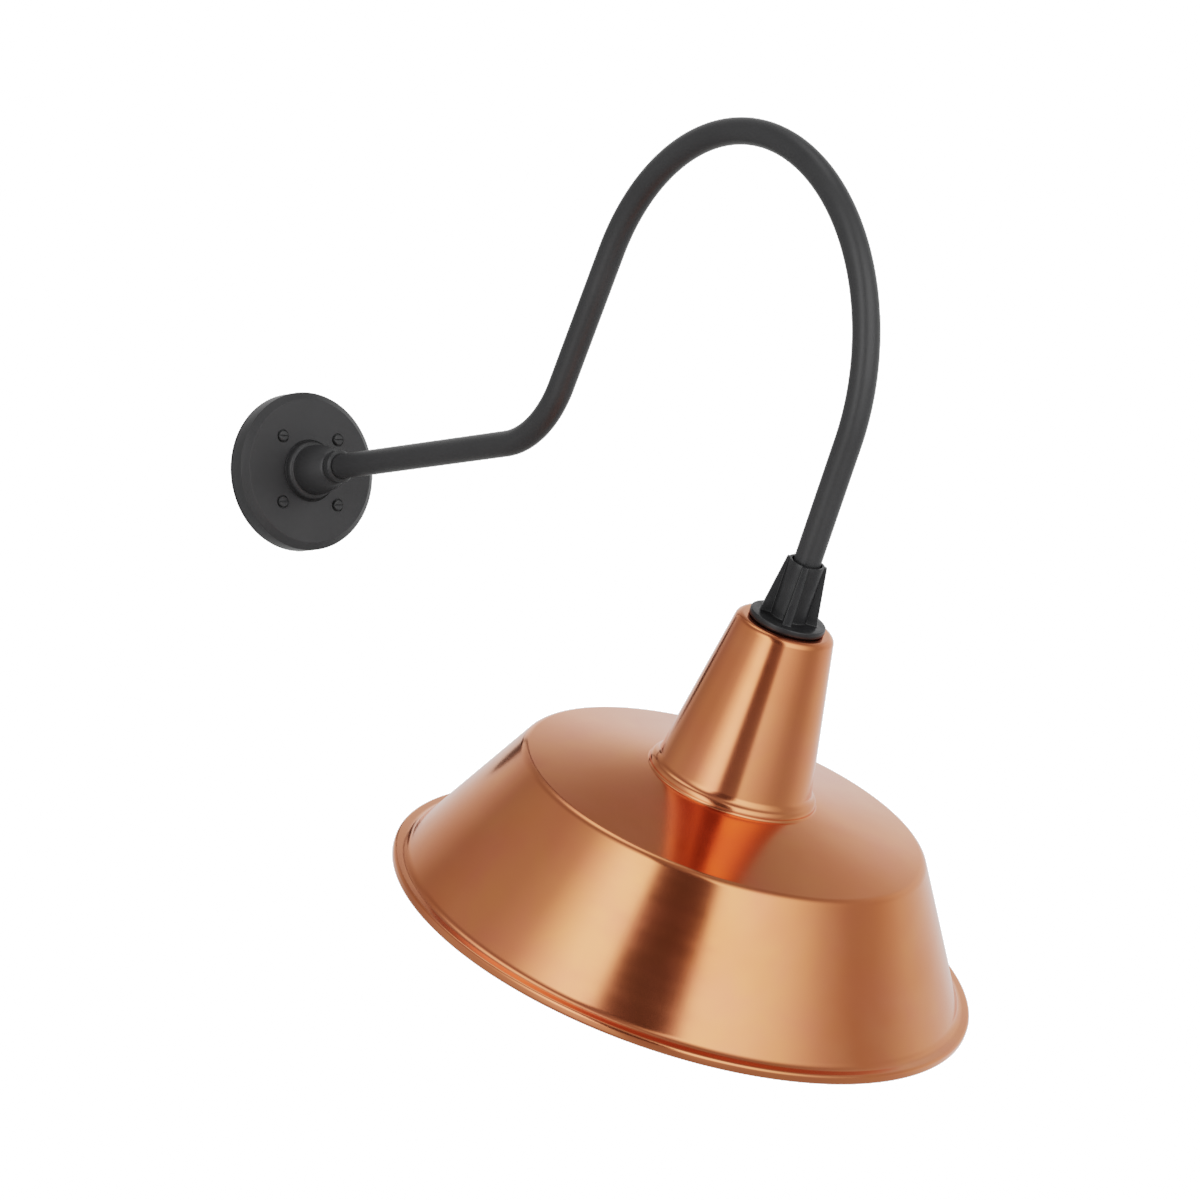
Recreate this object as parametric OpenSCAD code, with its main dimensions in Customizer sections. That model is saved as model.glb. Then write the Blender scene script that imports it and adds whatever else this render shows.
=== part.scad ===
// Wall-mounted gooseneck barn light with a spun copper shade.
// Origin: centre of the canopy on the wall. +Z is up and the arm reaches out along -Y.
// Most parts are drawn in a wall frame, in which x runs right, y up and z out of the wall.
// The shade's parts are drawn in a shade frame, whose z rises from the rim along the axis.

/* [Canopy] */
// Diameter of the wall canopy
canopy_d = 119; // [112:0.5:150]
// Height of the canopy's straight side, from its back edge to the bevel
canopy_side = 13.5; // [12:0.5:25]
// Width of the bevel round the front face, across the face
bevel_w = 5.3; // [2:0.1:8]
// Depth of the bevel, towards the room
bevel_h = 3; // [1:0.1:5]
// Wall of the canopy casting, side and front
canopy_wall = 4; // [2.5:0.1:5]
// Diameter of the bolt circle of the canopy screws
bolt_circle = 69.85; // [66:0.05:76]
// Diameter of the clearance holes for the canopy screws
screw_hole_d = 5.2; // [4.6:0.1:6]
// Diameter of the recess round each canopy screw's head
recess_d = 10; // [9:0.1:12]
// Depth of that recess
recess_depth = 0.8; // [0.3:0.1:1.5]

/* [Hub] */
// Diameter of the hub's straight part
hub_d = 37.2; // [32:0.2:42]
// Length of the hub, from the canopy's face to its nose
hub_len = 34; // [28:0.5:50]
// Length of the hub's straight part above the face
hub_straight = 12; // [8:0.5:18]
// Diameter of the hub's nose
nose_d = 25.6; // [24:0.2:30]
// Diameter of the base roll where the hub meets the face
roll_d = 43.8; // [40:0.2:48]
// Height of the base roll above the face
roll_h = 6; // [3:0.5:9]
// Width of the ring groove outside the base roll
groove_w = 1.5; // [0.8:0.1:2.5]
// Depth of the ring groove
groove_depth = 0.9; // [0.4:0.1:2]

/* [Screws] */
// Head diameter of a canopy screw
head_d = 8.2; // [7:0.1:9]
// Head height of a canopy screw
head_h = 2.8; // [2:0.1:4]
// Thread diameter of the canopy screws
thread_d = 4.2; // [3:0.1:4.4]
// Width of the slot in a screw's head
slot_w = 1.1; // [0.6:0.1:1.6]
// Depth of the slot in a screw's head
slot_depth = 1.2; // [0.5:0.1:1.6]
// Diameter of the grub screws in the hub and the shade holder
grub_d = 5; // [4:0.1:6]
// Length of the grub screw in the hub
hub_grub_len = 7; // [5:0.1:8]
// Length of the grub screw in the shade holder
holder_grub_len = 5; // [4:0.1:6]

/* [Mounting plate] */
// Diameter of the mounting plate behind the canopy
plate_d = 104; // [100:0.5:107]
// Thickness of the mounting plate
plate_t = 2; // [1.5:0.1:3]
// Diameter of the wire opening in the plate
wire_hole_d = 46; // [40:0.5:50]
// Distance between the two box slots
box_spacing = 88.9; // [84:0.1:90]
// Width of a box slot
box_slot_w = 4.8; // [4:0.1:5.5]
// Length of a box slot, end to end
box_slot_len = 8; // [6:0.1:9]
// Diameter of the tapped posts that take the canopy screws
post_d = 10; // [8:0.1:11]
// Thickness of the wall gasket
gasket_t = 1.5; // [1:0.1:3]
// Width of the wall gasket's ring
gasket_w = 3.4; // [2:0.1:3.8]

/* [Arm] */
// Outer diameter of the arm's tube
tube_d = 18.5; // [17:0.1:19.5]
// Wall of the arm's tube
tube_wall = 1.6; // [1:0.1:2]
// Length of the straight run from the wall to the first bend
arm_run = 267; // [180:1:400]
// Radius of the first bend, at the centreline
bend_r = 78.5; // [60:0.5:120]
// Angle to which the first bend rises
rise_angle = 56.7; // [30:0.1:75]
// Length of the rising run
rise_len = 105.5; // [40:0.5:200]
// Radius of the big arch, at the centreline
arch_r = 148.5; // [100:0.5:220]
// Lean of the arm's end and of the shade's axis from the vertical
shade_tilt = 29.2; // [0:0.1:45]
// Length of the straight drop from the arch to the holder's mouth
drop_len = 86; // [40:0.5:160]
// Length of the tube that sits inside the shade holder
tube_grip = 24; // [15:0.5:28]
// Diameter of the collar on the arm at the hub's nose
collar_d = 24.4; // [22:0.1:25.4]
// Length of that collar
collar_len = 8; // [4:0.5:12]
// Thickness of the arm's locknut
arm_nut_h = 4; // [3:0.1:5]
// Width of the arm's locknut across its flats
arm_nut_af = 26; // [24:0.1:29]
// Thickness of the washer under that locknut
arm_washer_t = 1; // [0.6:0.1:1.4]

/* [Shade holder] */
// Diameter of the disc that sits on the shade
disc_d = 52; // [51:0.5:58]
// Thickness of that disc
disc_t = 4.3; // [3:0.1:6]
// Height of the ribbed casting above the disc
cone_h = 40.3; // [36:0.1:60]
// Diameter of the casting between its ribs
core_d = 24.8; // [24.4:0.1:27]
// Diameter round the ribs where they meet the disc
rib_base_d = 39.4; // [34:0.2:46]
// Diameter round the ribs at the holder's mouth
rib_top_d = 27.4; // [27.2:0.1:34]
// Width of each rib where it meets the disc
rib_base_w = 6; // [4:0.1:7]
// Width of each rib at the mouth
rib_top_w = 4.2; // [2.5:0.1:4.8]
// Number of ribs
rib_count = 4; // [3:1:4]
// Turn of the ribs round the shade's axis
rib_turn = 50; // [40:1:60]
// Diameter of the boss round the holder's set screw
boss_d = 9; // [8:0.1:11]
// Distance of the boss's face from the axis
boss_out = 15; // [14.8:0.1:17]
// Diameter of the open mouth round the tube
mouth_d = 20.8; // [19.8:0.1:21.4]
// Depth of that open mouth
mouth_depth = 4; // [2:0.5:6]
// Diameter of the threaded stub under the disc
stub_d = 19.6; // [18:0.1:22]
// Length of the threaded stub under the disc
stub_len = 18.6; // [17.2:0.1:20.2]
// Bore for the leads through the stub
lead_bore_d = 10.4; // [10:0.1:12]

/* [Shade] */
// Diameter of the shade over its rolled edge
shade_d = 406.4; // [360:0.5:460]
// Thickness of the spun metal
sheet_t = 1.2; // [0.8:0.1:1.6]
// How far the flange stands out of the skirt
flange_w = 9.1; // [8:0.1:11]
// How far the flange falls towards its edge
flange_dip = 0.5; // [0:0.1:1]
// Rounding between skirt and flange
flange_fillet = 7; // [4:0.5:8]
// Height of the rolled edge
edge_h = 7.2; // [6.4:0.1:9]
// Width of the rolled edge
edge_w = 6; // [5.4:0.1:7]
// Rounding of the rolled edge's top
edge_round = 2; // [1.8:0.1:2.4]
// Rounding of the rolled edge's lower corners
roll_round = 2.4; // [1.8:0.1:2.5]
// How far the sheet's end rises inside the rolled edge
roll_rise = 4; // [2.8:0.1:4.4]
// Height of the crease above the middle of the rolled edge
crease_h = 97; // [70:0.5:110]
// Spread of the skirt from the axis
skirt_angle = 29.8; // [20:0.1:40]
// Rounding of the crease between skirt and shoulder
crease_round = 8; // [4:0.5:15]
// Slope of the shoulder above the rim's plane
shoulder_slope = 10; // [4:0.1:16]
// Diameter of the neck just above the step at its foot
neck_base_d = 106.1; // [98:0.1:112]
// How far that step stands out of the neck
foot_w = 5; // [4.6:0.1:5.6]
// Height of the step
foot_h = 7; // [6.6:0.1:10]
// How far the step's top falls towards its edge
foot_dip = 3; // [2.4:0.1:3.4]
// Diameter of the neck at its top, before the rounding
neck_top_d = 66.8; // [62:0.2:80]
// Height of the neck above the step
neck_len = 110.8; // [100:0.1:130]
// Rounding of the neck's top edge
neck_round = 5; // [3:0.5:8]
// Thickness of the gasket between holder and shade
neck_gasket_t = 0.6; // [0.4:0.1:2]
// Diameter of that gasket
neck_gasket_d = 49; // [40:0.5:50]
// Thickness of the washer inside the neck
shade_washer_t = 1.5; // [1:0.1:2]
// Diameter of the washer inside the neck
shade_washer_d = 36; // [32:0.5:44]
// Height of the shade's locknut
shade_nut_h = 6; // [5:0.1:7]
// Width of the shade's locknut across its flats
shade_nut_af = 30; // [28:0.1:34]

/* [Lamp holder] */
// Diameter of the porcelain body
body_d = 46; // [44:0.5:52]
// Height of the porcelain body
body_h = 54; // [52:0.5:58]
// Depth of the threaded seat on the stub
seat_depth = 7; // [5:0.5:8]
// Inner diameter of the screw shell
shell_d = 26.6; // [26.4:0.05:27]
// Thickness of the screw shell's brass
shell_t = 0.5; // [0.3:0.05:0.6]
// Height of the screw shell
shell_h = 24; // [20:0.5:25]
// Diameter of the porcelain's mouth round the bulb
lip_d = 34; // [31:0.5:38]
// Depth of the mouth below the screw shell
lip_depth = 5; // [3:0.5:6]
// Height of the wiring chamber inside the porcelain
chamber_h = 11; // [10:0.5:12]
// Diameter of the wiring chamber
chamber_d = 31; // [30:0.2:33]
// Thickness of the brass straps
strap_t = 1.2; // [0.8:0.1:1.4]
// Head diameter of a terminal screw
terminal_head_d = 7; // [6:0.1:7.6]

/* [Bulb] */
// Diameter of the bulb's globe
globe_d = 60; // [50:0.5:64]
// Length of the bulb from its tip contact to the end of the glass
bulb_len = 108; // [96:0.5:115]
// Diameter of the bulb's screw cap
cap_d = 26; // [25.6:0.05:26]
// Thickness of the bulb's glass
glass_t = 0.8; // [0.5:0.1:1.2]
// Diameter of the tip contact
tip_d = 9.4; // [8:0.1:10]

/* [Wiring] */
// Diameter of an insulated lead
lead_d = 2.5; // [2:0.1:2.8]
// Distance of each lead from the arm's centreline
lead_offset = 2.8; // [2.6:0.1:3]
// Thickness of the sleeve's wall
sleeve_t = 0.6; // [0.4:0.1:0.6]
// Length of the sleeve on the leads
sleeve_len = 60; // [50:1:80]
// Diameter of a splice cap
splice_d = 6.4; // [5:0.1:6.6]
// Length of a splice cap
splice_len = 12; // [9:0.5:13]

/* [Hidden] */

$fn = 96;
// Steps in one rounded corner of a turned outline
corner_steps = 10;
// Overlap that makes joined solids one
joined = 0.02;
// Radial clearance of a running fit
running = 0.05;
// Gap between neighbours that don't touch
gap = 0.3;
// How far a straight stretch of a rod runs into its bends, and how much less the bends' radius is
seam = 0.5;
seam_step = 0.05;

// Wall side
tube_r = tube_d / 2;
bore_r = tube_r - tube_wall;
face_z = gasket_t + canopy_side + bevel_h;
inner_z = face_z - canopy_wall;
nose_z = face_z + hub_len;
bolt_r = bolt_circle / 2;
bolt_count = 4;
bolt_turn = 45;
washer_z = inner_z - gap - arm_washer_t;
nut_z = washer_z - arm_nut_h;
tube_past_nut = 0.6;
tube_start = nut_z - tube_past_nut;
cavity_r = canopy_d / 2 - canopy_wall;
lead_level = tube_start - 2;
lead_bend = 4;
splice_start = arm_nut_af / 2 + 4;
// Edges of the hub's outline
roll_step = 1;
nose_edge = 1;
hub_waist = 1.4;
// Distance of the canopy screws' ends from the plate
screw_end = 3;
// Ground screw, its eyelet and its lead, which curves round the wire opening
ground_r = 44;
ground_screw_h = 2.4;
eyelet_t = 0.8;
tongue_w = 2.4;
tongue_start = 3;
riser_d = lead_d - 0.2;
ground_from = 258;
ground_to = 222;
ground_level = plate_t + eyelet_t + ground_screw_h;
ground_splice_d = splice_d - 1;
hub_grub_z = face_z + hub_straight - 3;
// How far the washer stands out of the locknut
washer_w = 2;

// Arm path, as [out, up] points of its centreline in the wall frame
function heading(a) = [cos(a), sin(a)];
bend_start = [arm_run, 0];
bend_centre = bend_start + [0, bend_r];
rise_start = bend_centre + bend_r * heading(rise_angle - 90);
rise_end = rise_start + rise_len * heading(rise_angle);
arch_centre = rise_end + arch_r * heading(rise_angle - 90);
drop_heading = -90 - shade_tilt;
drop_start = arch_centre + arch_r * heading(drop_heading + 90);
mouth_at = drop_start + drop_len * heading(drop_heading);
arch_turn = rise_angle - drop_heading;

// Shade outline: its corners as [radius, height] above the middle of the rolled edge
rim_r = shade_d / 2;
edge_top = edge_h / 2;
edge_low = -edge_h / 2;
roll_r = rim_r - edge_w;
flange_r = rim_r - flange_w;
crease_r = flange_r - (crease_h - edge_top) * tan(skirt_angle);
neck_base_r = neck_base_d / 2;
neck_top_r = neck_top_d / 2;
foot_r = neck_base_r + foot_w;
foot_base_h = crease_h + (crease_r - foot_r) * tan(shoulder_slope);
foot_top_h = foot_base_h + foot_h;
neck_top_h = foot_top_h + neck_len;
top_hole_r = stub_d / 2 + gap;
// The step's roundings share the length of its sloping top and of its upright side
foot_ledge = norm([foot_w, foot_dip]);
foot_side = foot_h - foot_dip;
foot_lean = atan(foot_dip / foot_w);
neck_lean = atan((neck_base_r - neck_top_r) / neck_len);
foot_fillet = 0.5 * foot_ledge / tan((90 - foot_lean - neck_lean) / 2);
foot_round = min(0.45 * foot_ledge, 0.6 * foot_side) / tan((90 - foot_lean) / 2);
foot_inner = 0.35 * foot_side / tan((90 - shoulder_slope) / 2);

// Holder and lamp holder, as heights along the shade's axis
disc_z = neck_top_h + neck_gasket_t;
cone_z = disc_z + disc_t;
mouth_z = cone_z + cone_h;
stub_z = disc_z - stub_len;
seat_z = mouth_z - tube_grip - gap;
shade_washer_z = neck_top_h - sheet_t - shade_washer_t;
shade_nut_z = shade_washer_z - shade_nut_h;
body_top = stub_z + seat_depth;
body_z = body_top - body_h;
chamber_top = stub_z - 1;
chamber_z = chamber_top - chamber_h;
shell_z = body_z + lip_depth;
shell_top = shell_z + shell_h;
shell_r = shell_d / 2;
terminal_z = chamber_z + chamber_h / 2;
terminal_head_h = 2.4;
terminal_shank_d = 3.4;
terminal_shank_len = 3.6;
terminal_hole_r = terminal_head_d / 2 + 0.6;
strap_w = 7.2;
strap_top = chamber_top - 0.8;
strap_x = chamber_d / 2 - 2.5;
bridge_w = 5;
contact_z = shell_top - 1.2;
contact_r = 4;
rivet_r = 1.6;
rivet_hole_r = 2;
shell_flange_r = 8;
shell_collar = 2;
thread_turns = 6;
holder_grub_z = seat_z + 12;
sleeve_z = stub_z + 2;
sleeve_r = lead_offset + lead_d / 2 + 0.25;
leads_end = stub_z + 18;

// Bulb, as heights along the shade's axis
tip_top = contact_z - gap;
tip_h = 1.2;
insulator_h = 3;
cap_h = shell_h - 2;
cap_top = tip_top - tip_h - insulator_h;
cap_z = cap_top - cap_h;
globe_r = globe_d / 2;
globe_z = tip_top - bulb_len + globe_r;
glass_neck_r = cap_d / 2 - 1;
// Angle round the globe where it meets its neck
glass_lean = 24;
stem_len = 42;
stem_r = 3;
stem_flare_z = cap_z - 10;
stem_flare_h = 8;
filament_z = cap_z - stem_len - gap;
wire_r = 0.4;
coil_r = 0.6;
cap_wall = 0.3;
cap_collar = 3;
cap_thread = 0.7;
cap_end_r = 9;
cap_end_h = 1;
insulator_r = 8.6;
tip_edge = 1.5;

// Places a child drawn in the wall frame
module on_wall() rotate([90, 0, 0]) children();

// Places a child drawn in the shade frame
module on_shade() {
    rim_at = mouth_at + mouth_z * heading(drop_heading);
    on_wall() translate([0, rim_at[1], rim_at[0]])
        rotate([shade_tilt - 90, 0, 0]) children();
}

// Points of an arc from angle a to angle b
function arc(centre, r, a, b, n) = [for (i = [0:n]) centre + r * heading(a + (b - a) * i / n)];

// Angle of the step from p to q
function bearing(p, q) = atan2(q[1] - p[1], q[0] - p[0]);

// Signed turn from bearing a to bearing b, within half a turn
function turn(a, b) = let (d = b - a) d > 180 ? d - 360 : d < -180 ? d + 360 : d;

// One corner of a sheet's outline, moved to its right by off and rounded to radius r
function sheet_corner(p, q, s, r, off) =
    let (a = bearing(p, q), t = turn(a, bearing(q, s)), side = t > 0 ? 1 : -1,
         round_r = r + side * off, mid = a + t / 2 - 90,
         tip = q + off / cos(t / 2) * heading(mid),
         centre = tip + side * round_r / cos(t / 2) * heading(mid + 180))
    arc(centre, round_r, a - side * 90, a + t - side * 90, corner_steps);

// Corners of the shade's outer face, from its top hole to the sheet's end, and their roundings
shade_corners = [[top_hole_r, neck_top_h], [neck_top_r, neck_top_h], [neck_base_r, foot_top_h],
                 [foot_r, foot_top_h - foot_dip], [foot_r, foot_base_h], [crease_r, crease_h],
                 [flange_r, edge_top], [rim_r, edge_top - flange_dip], [rim_r, edge_low],
                 [roll_r, edge_low], [roll_r, edge_low + roll_rise]];
shade_rounds = [0, neck_round, foot_fillet, foot_round, foot_inner, crease_round, flange_fillet,
                edge_round, roll_round, roll_round];

// One face of the shade's sheet, off inside its outer face
function shade_face(off) = concat(
    [[top_hole_r, neck_top_h - off]],
    [for (i = [1:len(shade_rounds) - 1],
          p = sheet_corner(shade_corners[i - 1], shade_corners[i], shade_corners[i + 1],
                           shade_rounds[i], off)) p],
    [[roll_r + off, edge_low + roll_rise]]);

function reversed(list) = [for (i = [len(list) - 1:-1:0]) list[i]];

// Points on a curve that leaves a towards b and arrives at c from b
function curve(a, b, c, n) = [for (i = [0:n]) let (t = i / n)
    (1 - t) * (1 - t) * a + 2 * t * (1 - t) * b + t * t * c];

// A straight stretch of the arm's path from a point at angle a, moved right by x
module straight(from, a, length, r, x)
    translate([x, from[1], from[0]]) rotate([-a, 0, 0]) cylinder(h = length, r = r);

// A bend of the arm's path about a centre, from angle a over angle turn
module bend(centre, bend_radius, a, turn_angle, r, x) {
    translate([0, centre[1], centre[0]]) rotate([0, -90, 0]) rotate([0, 0, a])
        rotate_extrude(angle = turn_angle, $fn = 180)
            translate([bend_radius, -x]) circle(r = r - seam_step);
}

// A round rod along the arm's whole path, moved right by x
module arm_rod(r, x, from, past_mouth) {
    straight([from, 0], 0, arm_run + seam - from, r, x);
    bend(bend_centre, bend_r, -90, rise_angle, r, x);
    straight(rise_start - seam * heading(rise_angle), rise_angle, rise_len + 2 * seam, r, x);
    bend(arch_centre, arch_r, drop_heading + 90, arch_turn, r, x);
    straight(drop_start - seam * heading(drop_heading), drop_heading, drop_len + seam + past_mouth, r, x);
}

// A turned screw with its head from z = 0 up, its shank below and a slot across the head
module slotted_screw(d, height, shank_d, shank_len) {
    edge = height / 2;
    difference() {
        union() {
            rotate_extrude() polygon(concat([[0, 0], [d / 2, 0], [d / 2, height - edge]],
                arc([d / 2 - edge, height - edge], edge, 0, 90, corner_steps), [[0, height]]));
            translate([0, 0, -shank_len]) cylinder(h = shank_len + joined, d = shank_d);
        }
        translate([-d, -slot_w / 2, height - slot_depth]) cube([2 * d, slot_w, slot_depth * 2]);
    }
}

// A headless screw with a slot in its outer end
module grub_screw(length) {
    difference() {
        cylinder(h = length, d = grub_d);
        translate([-grub_d, -slot_w / 2, length - slot_depth]) cube([2 * grub_d, slot_w, slot_depth * 2]);
    }
}

// A flat ring between two radii
module ring(inner, outer, height) {
    difference() {
        cylinder(h = height, r = outer);
        translate([0, 0, -joined]) cylinder(h = height + 2 * joined, r = inner);
    }
}

// A hexagon nut with a bevelled outer edge
module hex_nut(flats, inner, height) {
    corner_r = flats / 2 / cos(30);
    edge = height / 6;
    difference() {
        intersection() {
            cylinder(h = height, r = corner_r, $fn = 6);
            rotate_extrude() polygon([[0, 0], [corner_r - edge, 0], [corner_r, edge],
                [corner_r, height - edge], [corner_r - edge, height], [0, height]]);
        }
        translate([0, 0, -joined]) cylinder(h = height + 2 * joined, r = inner);
    }
}

// Children at the four canopy screws
module at_bolts()
    for (i = [0:bolt_count - 1]) rotate([0, 0, bolt_turn + i * 360 / bolt_count])
        translate([bolt_r, 0, 0]) rotate([0, 0, -bolt_turn - i * 360 / bolt_count]) children();

module wall_gasket() {
    color("#2b2b2b") on_wall() ring(canopy_d / 2 - gasket_w, canopy_d / 2, gasket_t);
}

module mounting_plate() {
    color("#b9bcc0") on_wall() difference() {
        union() {
            cylinder(h = plate_t, d = plate_d);
            at_bolts() cylinder(h = inner_z, d = post_d);
        }
        translate([0, 0, -joined]) cylinder(h = plate_t + 2 * joined, d = wire_hole_d);
        at_bolts() translate([0, 0, plate_t]) cylinder(h = inner_z, r = thread_d / 2 + running);
        translate([0, 0, -joined]) for (side = [-1, 1]) translate([side * box_spacing / 2, 0, 0]) {
            slide = (box_slot_len - box_slot_w) / 2;
            for (end = [-1, 1]) translate([end * slide, 0, 0])
                cylinder(h = plate_t + 2 * joined, d = box_slot_w);
            translate([-slide, -box_slot_w / 2, 0]) cube([2 * slide, box_slot_w, plate_t + 2 * joined]);
        }
        translate([0, -ground_r, -joined])
            cylinder(h = plate_t + 2 * joined, r = thread_d / 2 + running);
    }
}

// Outline of the canopy and its hub in the wall frame, as [radius, height]
canopy_outline = concat(
    [[0, gasket_t], [canopy_d / 2, gasket_t], [canopy_d / 2, gasket_t + canopy_side],
     [canopy_d / 2 - bevel_w, face_z], [roll_d / 2 + groove_w, face_z],
     [roll_d / 2 + groove_w / 2, face_z - groove_depth], [roll_d / 2, face_z]],
    curve([roll_d / 2, face_z + roll_step], [roll_d / 2, face_z + roll_h],
          [hub_d / 2, face_z + roll_h], corner_steps),
    curve([hub_d / 2, face_z + hub_straight],
          [hub_d / 2 - hub_waist, (face_z + hub_straight + nose_z) / 2],
          [nose_d / 2, nose_z - nose_edge], corner_steps),
    [[nose_d / 2 - nose_edge, nose_z], [0, nose_z]]);

module canopy() {
    color("#45464a") on_wall() difference() {
        rotate_extrude($fn = 144) polygon(canopy_outline);
        translate([0, 0, gasket_t - joined]) cylinder(h = inner_z - gasket_t + joined, r = cavity_r);
        translate([0, 0, inner_z - joined]) cylinder(h = nose_z, r = tube_r + running);
        at_bolts() translate([0, 0, inner_z - joined]) cylinder(h = canopy_wall * 2, d = screw_hole_d);
        at_bolts() translate([0, 0, face_z - recess_depth]) cylinder(h = canopy_wall, d = recess_d);
        translate([0, 0, hub_grub_z]) rotate([90, 0, 0])
            cylinder(h = hub_d, r = grub_d / 2 + running);
    }
}

module canopy_screws() {
    color("#3a3b3e") on_wall() at_bolts() translate([0, 0, face_z - recess_depth])
        slotted_screw(head_d, head_h, thread_d, face_z - recess_depth - plate_t - screw_end);
}

module ground_screw() {
    color("#5f8f57") on_wall() translate([0, -ground_r, plate_t + eyelet_t])
        slotted_screw(head_d, ground_screw_h, thread_d, plate_t);
}

module ground_lead() {
    end_x = ground_r * cos(ground_from);
    color("#3f7a3a") on_wall() {
        translate([0, -ground_r, plate_t]) ring(thread_d / 2 + running, head_d / 2, eyelet_t);
        translate([end_x, -ground_r - tongue_w / 2, plate_t])
            cube([-end_x - tongue_start, tongue_w, eyelet_t]);
        translate([0, 0, ground_level]) rotate([0, 0, ground_to])
            rotate_extrude(angle = ground_from - ground_to) translate([ground_r, 0])
                circle(d = lead_d, $fn = 32);
        rotate([0, 0, ground_from]) translate([ground_r, 0, plate_t])
            cylinder(h = ground_level - plate_t, d = riser_d);
    }
}

module ground_splice_cap() {
    color("#4b8f45") on_wall() rotate([0, 0, ground_to]) translate([ground_r, 0, ground_level])
        rotate([90, 0, 0]) cylinder(h = splice_len, d = ground_splice_d);
}

module hub_set_screw() {
    color("#3a3b3e") on_wall() translate([0, -tube_r - gap, hub_grub_z]) rotate([90, 0, 0])
        grub_screw(hub_grub_len);
}

module arm_tube() {
    color("#45464a") on_wall() difference() {
        arm_rod(tube_r, 0, tube_start, tube_grip);
        arm_rod(bore_r, 0, tube_start - joined, tube_grip + joined);
    }
}

module arm_collar() {
    edge = 0.8;
    color("#45464a") on_wall() translate([0, 0, nose_z + gap]) difference() {
        rotate_extrude() polygon([[0, 0], [collar_d / 2 - edge, 0], [collar_d / 2, edge],
            [collar_d / 2, collar_len - 2 * edge], [collar_d / 2 - 2 * edge, collar_len], [0, collar_len]]);
        translate([0, 0, -joined]) cylinder(h = collar_len + 2 * joined, r = tube_r + joined);
    }
}

module arm_washer() {
    color("#b9bcc0") on_wall() translate([0, 0, washer_z])
        ring(tube_r + running, arm_nut_af / 2 + washer_w, arm_washer_t);
}

module arm_locknut() {
    color("#c4c6c9") on_wall() translate([0, 0, nut_z]) hex_nut(arm_nut_af, tube_r + joined, arm_nut_h);
}

// A lead from its splice cap in the canopy, through the arm and into the sleeve
module arm_lead(side) {
    on_wall() {
        arm_rod(lead_d / 2, side * lead_offset, lead_level + lead_bend, mouth_z - leads_end);
        translate([side * (lead_offset + lead_bend), 0, lead_level + lead_bend]) rotate([90, 0, 0])
            rotate([0, 0, side > 0 ? 180 : 270]) rotate_extrude(angle = 90)
                translate([lead_bend, 0]) circle(d = lead_d, $fn = 32);
        translate([side * (lead_offset + lead_bend), 0, lead_level]) rotate([0, side * 90, 0])
            cylinder(h = splice_start - lead_offset - lead_bend, d = lead_d);
    }
}

module black_lead() {
    color("#1c1c1e") arm_lead(-1);
}

module white_lead() {
    color("#e8e8e4") arm_lead(1);
}

module splice_caps() {
    color("#d9d4c6") on_wall() for (side = [-1, 1]) translate([side * splice_start, 0, lead_level])
        rotate([0, side * 90, 0]) cylinder(h = splice_len, d = splice_d);
}

module lead_sleeve() {
    color("#d8d2bd") on_shade() translate([0, 0, sleeve_z])
        ring(sleeve_r, sleeve_r + sleeve_t, sleeve_len);
}

// The ribs of the shade holder, cut to a cone at their tips
module ribs() intersection() {
    translate([0, 0, cone_z]) cylinder(h = cone_h, r1 = rib_base_d / 2, r2 = rib_top_d / 2);
    for (i = [0:rib_count - 1]) rotate([0, 0, rib_turn + i * 360 / rib_count])
        translate([0, 0, cone_z - joined]) rotate([90, 0, 90]) linear_extrude(rib_base_d)
            polygon([[-rib_base_w / 2, 0], [rib_base_w / 2, 0],
                     [rib_top_w / 2, cone_h + 2 * joined], [-rib_top_w / 2, cone_h + 2 * joined]]);
}

module shade_holder() {
    edge = 0.6;
    color("#1f2023") on_shade() difference() {
        union() {
            translate([0, 0, stub_z]) cylinder(h = stub_len + joined, d = stub_d);
            translate([0, 0, disc_z]) rotate_extrude() polygon([[0, 0], [disc_d / 2 - edge, 0],
                [disc_d / 2, edge], [disc_d / 2, disc_t - edge], [disc_d / 2 - edge, disc_t], [0, disc_t]]);
            translate([0, 0, cone_z - joined]) cylinder(h = cone_h + joined, d = core_d);
            ribs();
            translate([0, 0, holder_grub_z]) rotate([-90, 0, 0]) cylinder(h = boss_out, d = boss_d);
        }
        translate([0, 0, stub_z - joined]) cylinder(h = mouth_z, d = lead_bore_d);
        translate([0, 0, seat_z]) cylinder(h = mouth_z, r = tube_r + running);
        translate([0, 0, mouth_z - mouth_depth]) cylinder(h = mouth_depth * 2, d = mouth_d);
        translate([0, 0, holder_grub_z]) rotate([-90, 0, 0])
            cylinder(h = disc_d, r = grub_d / 2 + running);
    }
}

module holder_set_screw() {
    color("#2b2c2f") on_shade() translate([0, tube_r + gap, holder_grub_z]) rotate([-90, 0, 0])
        grub_screw(holder_grub_len);
}

module neck_gasket() {
    color("#2b2b2b") on_shade() translate([0, 0, neck_top_h])
        ring(top_hole_r, neck_gasket_d / 2, neck_gasket_t);
}

module shade() {
    color("#c8834f") on_shade() rotate_extrude($fn = 180)
        polygon(concat(shade_face(0), reversed(shade_face(sheet_t))));
}

module shade_washer() {
    color("#b9bcc0") on_shade() translate([0, 0, shade_washer_z])
        ring(stub_d / 2 + gap, shade_washer_d / 2, shade_washer_t);
}

module shade_locknut() {
    color("#c4c6c9") on_shade() translate([0, 0, shade_nut_z])
        hex_nut(shade_nut_af, stub_d / 2 + running, shade_nut_h);
}

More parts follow.
